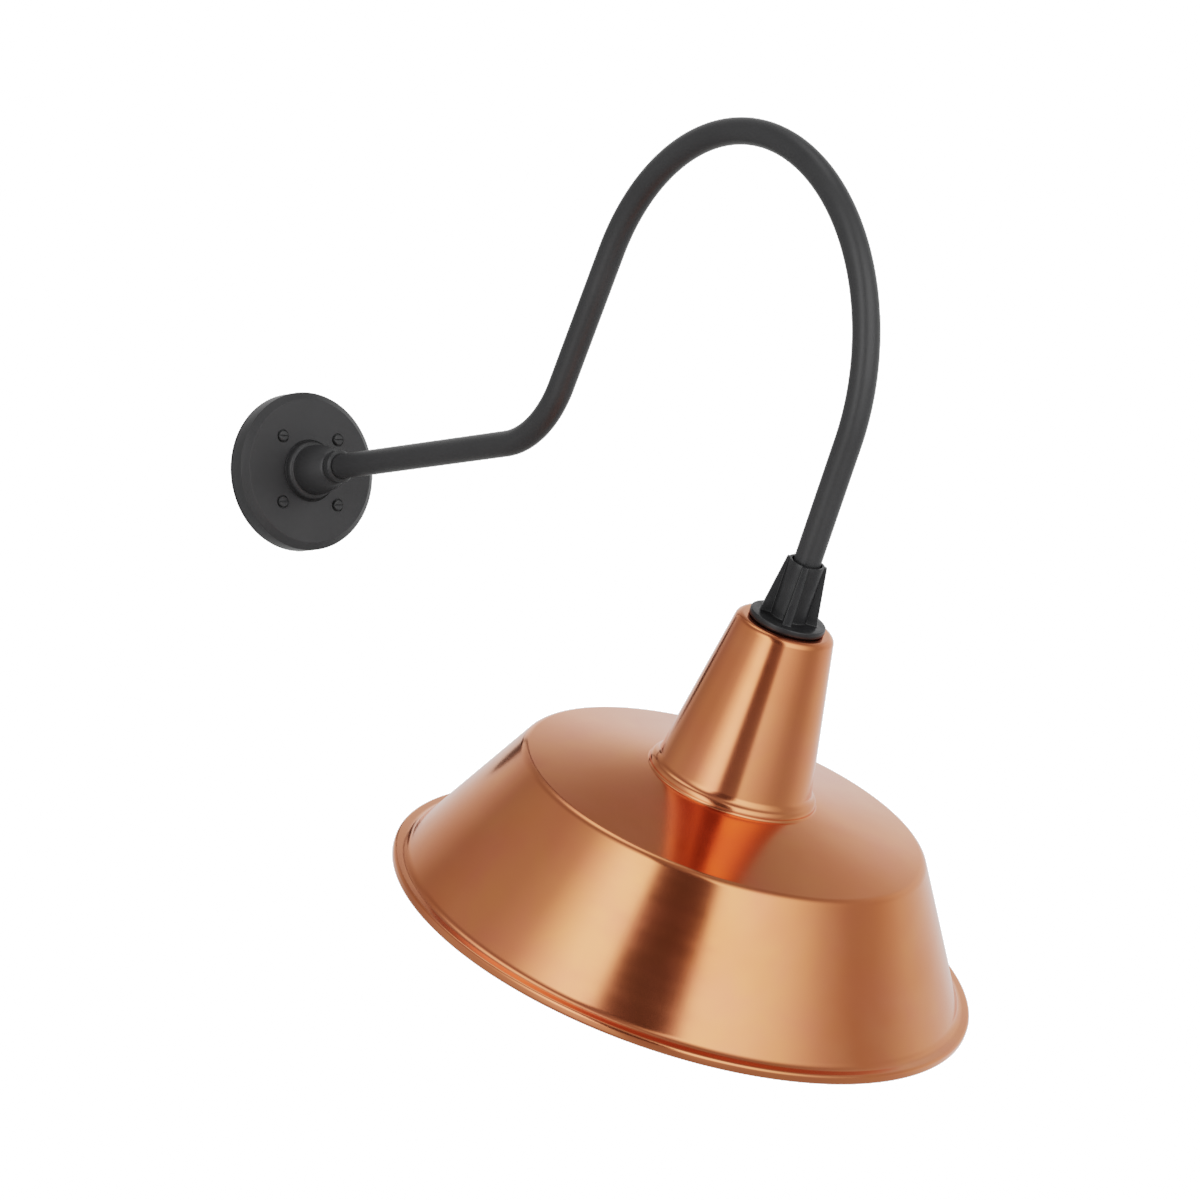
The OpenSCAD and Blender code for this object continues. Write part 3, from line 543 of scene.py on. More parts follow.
class Trees:
    """The Geometry Nodes trees that draw turned, swept and repeated pieces."""

    GEOMETRY = "NodeSocketGeometry"

    def __init__(self) -> None:
        """Builds each tree once."""
        self.turned = self._turned()
        self.swept = self._swept()
        self.ringed = self._ringed()
        self.threaded = self._threaded()

    @staticmethod
    def _start(name: str, inputs: Iterable[tuple[str, str, Any]]) -> tuple[bpy.types.NodeTree, Sheet, Any, Any]:
        """Starts a tree with a geometry input and output and a material input.

        Args:
            name: The tree's name.
            inputs: The name, type and default of each of its own inputs.

        Returns:
            The tree, the sheet that fills it, and its input and output nodes.
        """
        sockets = [("Geometry", "OUTPUT", Trees.GEOMETRY, None), ("Geometry", "INPUT", Trees.GEOMETRY, None)]
        sockets += [(label, "INPUT", kind, default) for label, kind, default in inputs]
        sockets += [("Material", "INPUT", "NodeSocketMaterial", None)]
        tree, sheet = new_group(name, "GeometryNodeTree", sockets)
        return tree, sheet, sheet.add("NodeGroupInput"), sheet.add("NodeGroupOutput")

    @staticmethod
    def _end(sheet: Sheet, given: Any, out: Any, geometry: bpy.types.NodeSocket) -> None:
        """Ends a tree, with its instances made real and its material set.

        Args:
            sheet: The sheet that fills it.
            given: Its input node.
            out: Its output node.
            geometry: What it has made.
        """
        real = sheet.add("GeometryNodeRealizeInstances", {0: geometry})
        painted = sheet.add("GeometryNodeSetMaterial", {
            "Geometry": real.outputs[0], "Material": given.outputs["Material"]})
        sheet.tree.links.new(painted.outputs[0], out.inputs[0])

    @staticmethod
    def _turned() -> bpy.types.NodeTree:
        """Turns the host's points, in order, about the z axis into a skin.

        Returns:
            The tree.
        """
        tree, sheet, given, out = Trees._start("turned piece", [("Segments", "NodeSocketInt", 128)])
        count = sheet.add("GeometryNodeAttributeDomainSize", {0: given.outputs["Geometry"]}).outputs[0]
        steps = sheet.math("ADD", given.outputs["Segments"], 1.0)
        grid = sheet.add("GeometryNodeMeshGrid", {"Vertices X": steps, "Vertices Y": count})
        index = sheet.add("GeometryNodeInputIndex").outputs[0]
        along = sheet.math("MODULO", index, count)
        around = sheet.math("FLOOR", sheet.math("DIVIDE", sheet.math("ADD", index, 0.5), count))
        places = sheet.add("GeometryNodeInputPosition").outputs[0]
        sample = sheet.add("GeometryNodeSampleIndex", {
            "Geometry": given.outputs["Geometry"], "Value": places, "Index": along}, data_type="FLOAT_VECTOR")
        profile = sheet.add("ShaderNodeSeparateXYZ", {0: sample.outputs[0]})
        angle = sheet.math("MULTIPLY", sheet.math("DIVIDE", around, given.outputs["Segments"]), math.tau)
        turned = sheet.add("ShaderNodeCombineXYZ", {
            0: sheet.math("MULTIPLY", profile.outputs[0], sheet.math("COSINE", angle)),
            1: sheet.math("MULTIPLY", profile.outputs[0], sheet.math("SINE", angle)),
            2: profile.outputs[2]})
        skin = sheet.add("GeometryNodeSetPosition", {"Geometry": grid.outputs[0], "Position": turned.outputs[0]})
        whole = sheet.add("GeometryNodeMergeByDistance", {"Geometry": skin.outputs[0], "Distance": WELD})
        Trees._end(sheet, given, out, whole.outputs[0])
        return tree

    @staticmethod
    def _swept() -> bpy.types.NodeTree:
        """Runs a round pipe along the host's points, in order.

        Returns:
            The tree.
        """
        tree, sheet, given, out = Trees._start("swept pipe", [
            ("Radius", "NodeSocketFloat", 0.005), ("Wall", "NodeSocketFloat", 0.001),
            ("Segments", "NodeSocketInt", 48)])
        path = sheet.add("GeometryNodeMeshToCurve", {0: given.outputs["Geometry"]})
        upright = sheet.add("GeometryNodeSetCurveNormal", {0: path.outputs[0]})
        inner = sheet.add("GeometryNodeCurvePrimitiveCircle", {
            "Resolution": given.outputs["Segments"],
            "Radius": sheet.math("SUBTRACT", given.outputs["Radius"], given.outputs["Wall"])})
        bore = sheet.add("GeometryNodeCurveToMesh", {"Curve": upright.outputs[0], "Profile Curve": inner.outputs[0]})
        thick = sheet.add("GeometryNodeExtrudeMesh", {
            "Mesh": bore.outputs[0], "Offset Scale": given.outputs["Wall"], "Individual": False}, mode="FACES")
        back = sheet.add("GeometryNodeFlipFaces", {0: bore.outputs[0]})
        joined = sheet.add("GeometryNodeJoinGeometry")
        for part in (back, thick):
            tree.links.new(part.outputs[0], joined.inputs[0])
        pipe = sheet.add("GeometryNodeMergeByDistance", {"Geometry": joined.outputs[0], "Distance": WELD})
        Trees._end(sheet, given, out, pipe.outputs[0])
        return tree

    @staticmethod
    def _ringed() -> bpy.types.NodeTree:
        """Sets copies of the host in a ring about the z axis, each with a small turn of its own.

        Returns:
            The tree.
        """
        tree, sheet, given, out = Trees._start("ring of pieces", [
            ("Count", "NodeSocketInt", 4), ("Radius", "NodeSocketFloat", 0.03),
            ("First angle", "NodeSocketFloat", 0.0), ("Loose turn", "NodeSocketFloat", 0.0),
            ("Seed", "NodeSocketInt", 7)])
        # Each copy keeps the host's own heading, but for its loose turn.
        points = sheet.add("GeometryNodeMeshCircle", {
            "Vertices": given.outputs["Count"], "Radius": given.outputs["Radius"]})
        spun = sheet.add("GeometryNodeTransform", {
            "Geometry": points.outputs[0],
            "Rotation": sheet.add("ShaderNodeCombineXYZ", {2: given.outputs["First angle"]}).outputs[0]})
        loose = sheet.add("FunctionNodeRandomValue", {"Seed": given.outputs["Seed"]}, data_type="FLOAT")
        # The node has one pair of ends for each type of value, and only this type's are enabled.
        ends = {socket.name: socket for socket in loose.inputs if socket.enabled}
        tree.links.new(sheet.math("MULTIPLY", given.outputs["Loose turn"], -1.0), ends["Min"])
        tree.links.new(given.outputs["Loose turn"], ends["Max"])
        value = next(socket for socket in loose.outputs if socket.enabled)
        turn = sheet.add("ShaderNodeCombineXYZ", {2: value})
        placed = sheet.add("GeometryNodeInstanceOnPoints", {
            "Points": spun.outputs[0], "Instance": given.outputs["Geometry"], "Rotation": turn.outputs[0]})
        Trees._end(sheet, given, out, placed.outputs[0])
        return tree

    @staticmethod
    def _threaded() -> bpy.types.NodeTree:
        """Winds a round thread about the z axis, from z = 0 up.

        Returns:
            The tree.
        """
        tree, sheet, given, out = Trees._start("wound thread", [
            ("Turns", "NodeSocketFloat", 6.0), ("Radius", "NodeSocketFloat", 0.013),
            ("Height", "NodeSocketFloat", 0.02), ("Thread radius", "NodeSocketFloat", 0.0012)])
        helix = sheet.add("GeometryNodeCurveSpiral", {
            "Resolution": 64, "Rotations": given.outputs["Turns"], "Start Radius": given.outputs["Radius"],
            "End Radius": given.outputs["Radius"], "Height": given.outputs["Height"]})
        section = sheet.add("GeometryNodeCurvePrimitiveCircle", {
            "Resolution": 14, "Radius": given.outputs["Thread radius"]})
        ridge = sheet.add("GeometryNodeCurveToMesh", {
            "Curve": helix.outputs[0], "Profile Curve": section.outputs[0], "Fill Caps": True})
        joined = sheet.add("GeometryNodeJoinGeometry")
        for part in (given.outputs["Geometry"], ridge.outputs[0]):
            tree.links.new(part, joined.inputs[0])
        Trees._end(sheet, given, out, joined.outputs[0])
        return tree


# Making pieces


def new_mesh_object(name: str, points: Sequence[Sequence[float]], edges: Sequence[Sequence[int]] = (),
                    faces: Sequence[Sequence[int]] = ()) -> bpy.types.Object:
    """Makes an object and puts it in the scene.

    Args:
        name: Its name.
        points: Its points.
        edges: Its loose edges, as numbers of points.
        faces: Its faces, as numbers of points.

    Returns:
        The object.
    """
    mesh = bpy.data.meshes.new(name)
    mesh.from_pydata([tuple(p) for p in points], [tuple(e) for e in edges], [tuple(f) for f in faces])
    piece = bpy.data.objects.new(name, mesh)
    bpy.context.scene.collection.objects.link(piece)
    return piece


def new_path_object(name: str, points: Sequence[Sequence[float]]) -> bpy.types.Object:
    """Makes an object whose points are joined in order."""
    return new_mesh_object(name, points, [(i, i + 1) for i in range(len(points) - 1)])


def face_outwards(mesh: bpy.types.Mesh) -> None:
    """Turns a closed mesh so that its faces point outwards.

    Args:
        mesh: The mesh.
    """
    shell = bmesh.new()
    shell.from_mesh(mesh)
    if shell.calc_volume(signed=True) < 0:
        bmesh.ops.reverse_faces(shell, faces=shell.faces)
    shell.to_mesh(mesh)
    shell.free()


def smooth(mesh: bpy.types.Mesh, sharp: float) -> None:
    """Shades a mesh smooth.

    Args:
        mesh: The mesh.
        sharp: Edges that bend more than this many degrees stay sharp.
    """
    shell = bmesh.new()
    shell.from_mesh(mesh)
    for face in shell.faces:
        face.smooth = True
    for edge in shell.edges:
        edge.smooth = edge.calc_face_angle(0.0) < math.radians(sharp)
    shell.to_mesh(mesh)
    shell.free()


def settle(host: bpy.types.Object) -> None:
    """Turns an object's evaluated shape into its plain mesh, without modifiers.

    Args:
        host: The object with its modifiers.
    """
    bpy.context.view_layer.update()
    graph = bpy.context.evaluated_depsgraph_get()
    mesh = bpy.data.meshes.new_from_object(host.evaluated_get(graph), depsgraph=graph)
    host.modifiers.clear()
    old, host.data = host.data, mesh
    bpy.data.meshes.remove(old)
    mesh.name = host.name


@dataclass
class Workshop:
    """Makes pieces from outlines, paths and copies with the Geometry Nodes trees."""

    trees: Trees
    materials: dict[Look, bpy.types.Material]

    def _run(self, host: bpy.types.Object, tree: bpy.types.NodeTree, finish: Look, inputs: dict[str, Any],
             place: Matrix | None, sharp: float) -> bpy.types.Object:
        """Runs a tree on a host object and makes the result its mesh.

        Args:
            host: The object.
            tree: The tree.
            finish: The piece's finish.
            inputs: The tree's other inputs, by name.
            place: Where the piece's own frame stands, or None to leave it there.
            sharp: Edges that bend more than this many degrees stay sharp.

        Returns:
            The same object.
        """
        modifier = host.modifiers.new(tree.name, "NODES")
        modifier.node_group = tree
        for name, value in {**inputs, "Material": self.materials[finish]}.items():
            set_input(modifier, name, value)
        settle(host)
        face_outwards(host.data)
        if place is not None:
            host.data.transform(place)
        smooth(host.data, sharp)
        return host

    def turned(self, name: str, outline: Sequence[Point], finish: Look, place: Matrix | None = None,
               ends: Ends = Ends.JOINED, segments: int = 144, sharp: float = SHARP) -> bpy.types.Object:
        """Makes a turned piece.

        Args:
            name: The piece's name.
            outline: Its outline as radius and height.
            finish: Its finish.
            place: Where its own frame stands, or None to leave it there.
            ends: Whether the outline's end joins its start. The ends of an open outline lie on the axis.
            segments: Steps round the axis.
            sharp: Edges that bend more than this many degrees stay sharp.

        Returns:
            The piece.
        """
        points = [(r, 0.0, z) for r, z in outline]
        if ends is Ends.JOINED:
            points.append(points[0])
        host = new_path_object(name, points)
        return self._run(host, self.trees.turned, finish, {"Segments": segments}, place, sharp)

    def swept(self, name: str, path: Sequence[Vector], radius: float, wall: float, finish: Look,
              segments: int) -> bpy.types.Object:
        """Makes a pipe, given by its outer radius and its wall, along the points of its centreline."""
        inputs = {"Radius": radius, "Wall": wall, "Segments": segments}
        return self._run(new_path_object(name, path), self.trees.swept, finish, inputs, None, SHARP_ON_CURVES)

    def ringed(self, piece: bpy.types.Object, count: int, radius: float, first: float, loose: float,
               finish: Look, place: Matrix, seed: int = 11) -> bpy.types.Object:
        """Turns one piece into a ring of copies.

        Args:
            piece: The piece, drawn about its own axis.
            count: How many copies.
            radius: Their distance from the axis.
            first: Angle of the first one, in degrees.
            loose: How far each may be turned about its own axis, in degrees.
            finish: Their finish.
            place: Where the ring's frame stands.
            seed: The seed of their loose turns.

        Returns:
            The ring as one piece.
        """
        inputs = {"Count": count, "Radius": radius, "First angle": math.radians(first),
                  "Loose turn": math.radians(loose), "Seed": seed}
        return self._run(piece, self.trees.ringed, finish, inputs, place, SHARP)

    def threaded(self, piece: bpy.types.Object, turns: float, radius: float, height: float,
                 thread: float, finish: Look, place: Matrix) -> bpy.types.Object:
        """Winds a round thread round a piece that is drawn about its own axis, from z = 0 up."""
        inputs = {"Turns": turns, "Radius": radius, "Height": height, "Thread radius": thread}
        return self._run(piece, self.trees.threaded, finish, inputs, place, SHARP)

    def skin(self, name: str, points: Sequence[Sequence[float]], faces: Sequence[Sequence[int]], finish: Look,
             sharp: float) -> bpy.types.Object:
        """Makes a piece from its own points and faces.

        Args:
            name: The piece's name.
            points: Its points.
            faces: Its faces, as numbers of points.
            finish: Its finish.
            sharp: Edges that bend more than this many degrees stay sharp.

        Returns:
            The piece.
        """
        piece = new_mesh_object(name, points, faces=faces)
        piece.data.materials.append(self.materials[finish])
        face_outwards(piece.data)
        smooth(piece.data, sharp)
        return piece

    def drill(self, finish: Look, radius: float, low: float, high: float, place: Matrix,
              segments: int = 48) -> bpy.types.Object:
        """Makes a cutter for a round hole, with the finish of the piece that it cuts."""
        outline = [(0, low), (radius, low), (radius, high), (0, high)]
        return self.turned("cutter", outline, finish, place, Ends.OPEN, segments)

    @staticmethod
    def combine(piece: bpy.types.Object, blend: Blend, others: Sequence[bpy.types.Object]) -> None:
        """Cuts other shapes out of a piece or joins them to it, and removes them.

        Args:
            piece: The piece.
            blend: What the others do to it.
            others: The other shapes.
        """
        for other in others:
            modifier = piece.modifiers.new("blend", "BOOLEAN")
            modifier.operation, modifier.solver, modifier.object = blend.value, "EXACT", other
        settle(piece)
        for other in others:
            bpy.data.objects.remove(other)

    def cut(self, piece: bpy.types.Object, cutters: Sequence[bpy.types.Object], sharp: float = SHARP) -> None:
        """Cuts other shapes out of a piece and shades it again."""
        self.combine(piece, Blend.CUT, cutters)
        smooth(piece.data, sharp)

    def dress_nodes(self, **finish_of: Look) -> None:
        """Gives frame nodes their finishes, and leaves their shapes alone.

        Args:
            finish_of: Each node's finish, by the node's name.
        """
        for node, finish in finish_of.items():
            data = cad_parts[node].data
            data.materials.clear()
            data.materials.append(self.materials[finish])


def settle_piece(piece: bpy.types.Object, body: str, slot: str, *nodes: str) -> None:
    """Rides a piece on its body and hides the frame's nodes that it stands for.

    Args:
        piece: The piece.
        body: The frame's body.
        slot: The record's material slot; not used.
        nodes: The frame's nodes that the piece replaces.
    """
    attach(piece, body)
    if nodes:
        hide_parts(*nodes)
    LOG.info("%s on %s: %d faces", piece.name, body, len(piece.data.polygons))


# Where things stand


@dataclass(frozen=True)
class ArmPath:
    """The arm's centreline, in the plane x = 0, as distances out from the wall and up."""

    run: float = 267 * MM
    bend_radius: float = 78.5 * MM
    rise_angle: float = 56.7
    rise_length: float = 105.5 * MM
    arch_radius: float = 148.5 * MM
    shade_tilt: float = 29.2
    drop_length: float = 86 * MM

    @staticmethod
    def heading(angle: float) -> Vector:
        """The unit step out and up at an angle in degrees."""
        return Vector((math.cos(math.radians(angle)), math.sin(math.radians(angle))))

    @staticmethod
    def in_row(place: Vector) -> Vector:
        """A place out and up, in the row frame."""
        return Vector((0.0, -place.x, place.y))

    @property
    def bend_centre(self) -> Vector:
        """Centre of the first bend."""
        return Vector((self.run, self.bend_radius))

    @property
    def rise_end(self) -> Vector:
        """End of the rising run."""
        start = self.bend_centre + self.bend_radius * self.heading(self.rise_angle - 90)
        return start + self.rise_length * self.heading(self.rise_angle)

    @property
    def arch_centre(self) -> Vector:
        """Centre of the big arch."""
        return self.rise_end + self.arch_radius * self.heading(self.rise_angle - 90)

    @property
    def mouth(self) -> Vector:
        """The middle of the shade holder's mouth."""
        drop = self.heading(-90 - self.shade_tilt)
        return self.arch_centre + self.arch_radius * self.heading(-self.shade_tilt) + self.drop_length * drop

    def route(self, start: float, past_mouth: float, step: float = 1.25) -> list[Vector]:
        """Points along the path in the row frame.

        Args:
            start: Distance from the wall at which it starts.
            past_mouth: How far it goes on past the holder's mouth.
            step: Degrees between the points of a bend.

        Returns:
            The points.
        """
        places = [Vector((start, 0.0))]
        turns = round(self.rise_angle / step)
        for i in range(turns + 1):
            places.append(self.bend_centre + self.bend_radius * self.heading(-90 + self.rise_angle * i / turns))
        first, last = self.rise_angle + 90, -self.shade_tilt
        turns = round((first - last) / step)
        for i in range(turns + 1):
            places.append(self.arch_centre + self.arch_radius * self.heading(first + (last - first) * i / turns))
        places.append(self.mouth + past_mouth * self.heading(-90 - self.shade_tilt))
        return [self.in_row(p) for p in places]


ARM = ArmPath()
ON_WALL = Matrix.Rotation(math.radians(90), 4, "X")


@dataclass(frozen=True)
class ShadeSizes:
    """The shade's sizes, with heights along its axis above the middle of its rolled edge."""

    edge_radius: float = 203.2 * MM
    sheet: float = 1.2 * MM
    flange: float = 9.1 * MM
    flange_dip: float = 0.5 * MM
    edge_height: float = 7.2 * MM
    edge_width: float = 6 * MM
    roll_rise: float = 4 * MM
    crease_height: float = 97 * MM
    skirt_angle: float = 29.8
    shoulder_slope: float = 10.0
    neck_base: float = 53.05 * MM
    foot_width: float = 5 * MM
    foot_step: float = 7 * MM
    foot_dip: float = 3 * MM
    neck_top: float = 33.4 * MM
    neck_length: float = 110.8 * MM
    hole: float = 10.1 * MM
    gasket: float = 0.6 * MM
    disc: float = 4.3 * MM
    cone: float = 40.3 * MM

    @property
    def crease_radius(self) -> float:
        """Radius of the crease between skirt and shoulder."""
        fall = self.crease_height - self.edge_height / 2
        return self.edge_radius - self.flange - fall * math.tan(math.radians(self.skirt_angle))

    @property
    def foot_radius(self) -> float:
        """Radius of the step at the neck's foot."""
        return self.neck_base + self.foot_width

    @property
    def foot_base(self) -> float:
        """Height of the shoulder at the foot of the neck."""
        rise = math.tan(math.radians(self.shoulder_slope))
        return self.crease_height + (self.crease_radius - self.foot_radius) * rise

    @property
    def foot_top(self) -> float:
        """Height of the foot's step."""
        return self.foot_base + self.foot_step

    @property
    def foot_rounds(self) -> tuple[float, float, float]:
        """Roundings of the foot's step.

        Returns:
            The radii under the neck, at the step's edge and on the shoulder.
        """
        ledge, side = math.hypot(self.foot_width, self.foot_dip), self.foot_step - self.foot_dip
        lean = math.atan(self.foot_dip / self.foot_width)
        neck_lean = math.atan((self.neck_base - self.neck_top) / self.neck_length)
        slope = math.radians(self.shoulder_slope)
        return (0.5 * ledge / math.tan((math.pi / 2 - lean - neck_lean) / 2),
                min(0.45 * ledge, 0.6 * side) / math.tan((math.pi / 2 - lean) / 2),
                0.35 * side / math.tan((math.pi / 2 - slope) / 2))

    @property
    def top(self) -> float:
        """Height of the neck's top."""
        return self.foot_top + self.neck_length

    @property
    def disc_low(self) -> float:
        """Height of the holder's disc."""
        return self.top + self.gasket

    @property
    def mouth(self) -> float:
        """Height of the holder's mouth."""
        return self.disc_low + self.disc + self.cone


SHADE = ShadeSizes()


def on_shade(height: float = 0.0) -> Matrix:
    """The shade's frame, whose z axis runs up the middle of the shade.

    Args:
        height: How far up from the rim's centre it starts.

    Returns:
        The frame.
    """
    rim = ARM.mouth + SHADE.mouth * ARM.heading(-90 - ARM.shade_tilt)
    stand = Matrix.Translation(ARM.in_row(rim)) @ Matrix.Rotation(math.radians(ARM.shade_tilt), 4, "X")
    return stand @ Matrix.Translation((0, 0, height))


def finishes() -> list[Finish]:
    """Every finish of the light.

    Returns:
        The finishes, each given by its colour, its clouds' colour, its roughness and what sets it apart.
    """
    charcoal, black = (0.039, 0.039, 0.040), (0.020, 0.020, 0.021)
    return [
        Finish(Look.CHARCOAL, charcoal, (0.045, 0.045, 0.046), 0.39, specular=0.55,
               grain_size=0.5 * MM, grain_depth=0.0003 * MM, cloud_size=60 * MM, roughness_swing=0.005),
        Finish(Look.CASTING, black, (0.028, 0.028, 0.029), 0.34, specular=0.7, grain_size=0.8 * MM,
               grain_depth=0.04 * MM, cloud_size=12 * MM, roughness_swing=0.06),
        TurnedMetal(Look.COPPER, (0.91, 0.345, 0.165), (0.88, 0.305, 0.175), 0.17, metallic=1.0,
                    coat=0.15, coat_roughness=0.1, cloud_size=45 * MM, roughness_swing=0.012,
                    turn=on_shade(), mark_spacing=0.9 * MM, mark_depth=0.0025 * MM, deep=(0.83, 0.27, 0.12),
                    deep_size=110 * MM),
        Finish(Look.BLACKENED, (0.035, 0.036, 0.039), (0.05, 0.05, 0.054), 0.4, metallic=0.6,
               grain_size=0.4 * MM, grain_depth=0.006 * MM, cloud_size=4 * MM),
        Finish(Look.ZINC, (0.56, 0.57, 0.58), (0.46, 0.47, 0.49), 0.36, metallic=1.0,
               grain_size=1.4 * MM, grain_depth=0.008 * MM, cloud_size=9 * MM, roughness_swing=0.1),
        Finish(Look.RUBBER, (0.02, 0.02, 0.022), (0.035, 0.035, 0.036), 0.8,
               grain_size=0.4 * MM, grain_depth=0.02 * MM, cloud_size=8 * MM),
        Finish(Look.CHROMATE, (0.05, 0.24, 0.07), (0.10, 0.30, 0.09), 0.35, metallic=0.8,
               grain_size=0.5 * MM, grain_depth=0.006 * MM, cloud_size=3 * MM),
        Finish(Look.GREEN_LEAD, (0.04, 0.22, 0.05), (0.05, 0.27, 0.07), 0.5,
               grain_size=0.5 * MM, grain_depth=0.01 * MM, cloud_size=10 * MM),
        Finish(Look.BLACK_LEAD, (0.015, 0.015, 0.017), (0.025, 0.025, 0.027), 0.5,
               grain_size=0.5 * MM, grain_depth=0.01 * MM, cloud_size=10 * MM),
        Finish(Look.WHITE_LEAD, (0.72, 0.72, 0.69), (0.64, 0.63, 0.58), 0.5,
               grain_size=0.5 * MM, grain_depth=0.01 * MM, cloud_size=10 * MM),
        Finish(Look.PLASTIC, (0.66, 0.62, 0.50), (0.60, 0.55, 0.43), 0.45,
               grain_size=0.6 * MM, grain_depth=0.01 * MM, cloud_size=6 * MM),
        Finish(Look.PORCELAIN, (0.84, 0.83, 0.78), (0.80, 0.78, 0.71), 0.12, coat=0.6,
               coat_roughness=0.05, grain_size=2.5 * MM, grain_depth=0.02 * MM, cloud_size=20 * MM,
               roughness_swing=0.03),
        TurnedMetal(Look.BRASS, (0.76, 0.55, 0.24), (0.66, 0.45, 0.18), 0.3, metallic=1.0,
                    cloud_size=6 * MM, turn=on_shade(), mark_spacing=0.3 * MM, mark_depth=0.003 * MM),
        TurnedMetal(Look.NICKEL, (0.70, 0.69, 0.67), (0.62, 0.61, 0.59), 0.24, metallic=1.0,
                    cloud_size=6 * MM, turn=on_shade(), mark_spacing=0.3 * MM, mark_depth=0.003 * MM),
        Glass(Look.FROSTED, (0.93, 0.92, 0.88), (0.90, 0.89, 0.85), 0.42, transmission=0.35,
              grain_size=0.4 * MM, grain_depth=0.006 * MM, cloud_size=14 * MM),
        Glass(Look.CLEAR, (0.95, 0.97, 0.97), (0.92, 0.95, 0.96), 0.08, transmission=0.95,
              grain_size=1 * MM, grain_depth=0.004 * MM, cloud_size=10 * MM, roughness_swing=0.03),
        Finish(Look.WIRE, (0.34, 0.34, 0.35), (0.26, 0.26, 0.27), 0.35, metallic=1.0,
               grain_size=0.3 * MM, grain_depth=0.003 * MM, cloud_size=2 * MM),
        Finish(Look.INSULATOR, (0.02, 0.017, 0.015), (0.04, 0.034, 0.03), 0.15,
               grain_size=0.8 * MM, grain_depth=0.01 * MM, cloud_size=4 * MM, roughness_swing=0.04),
    ]


# The light's pieces


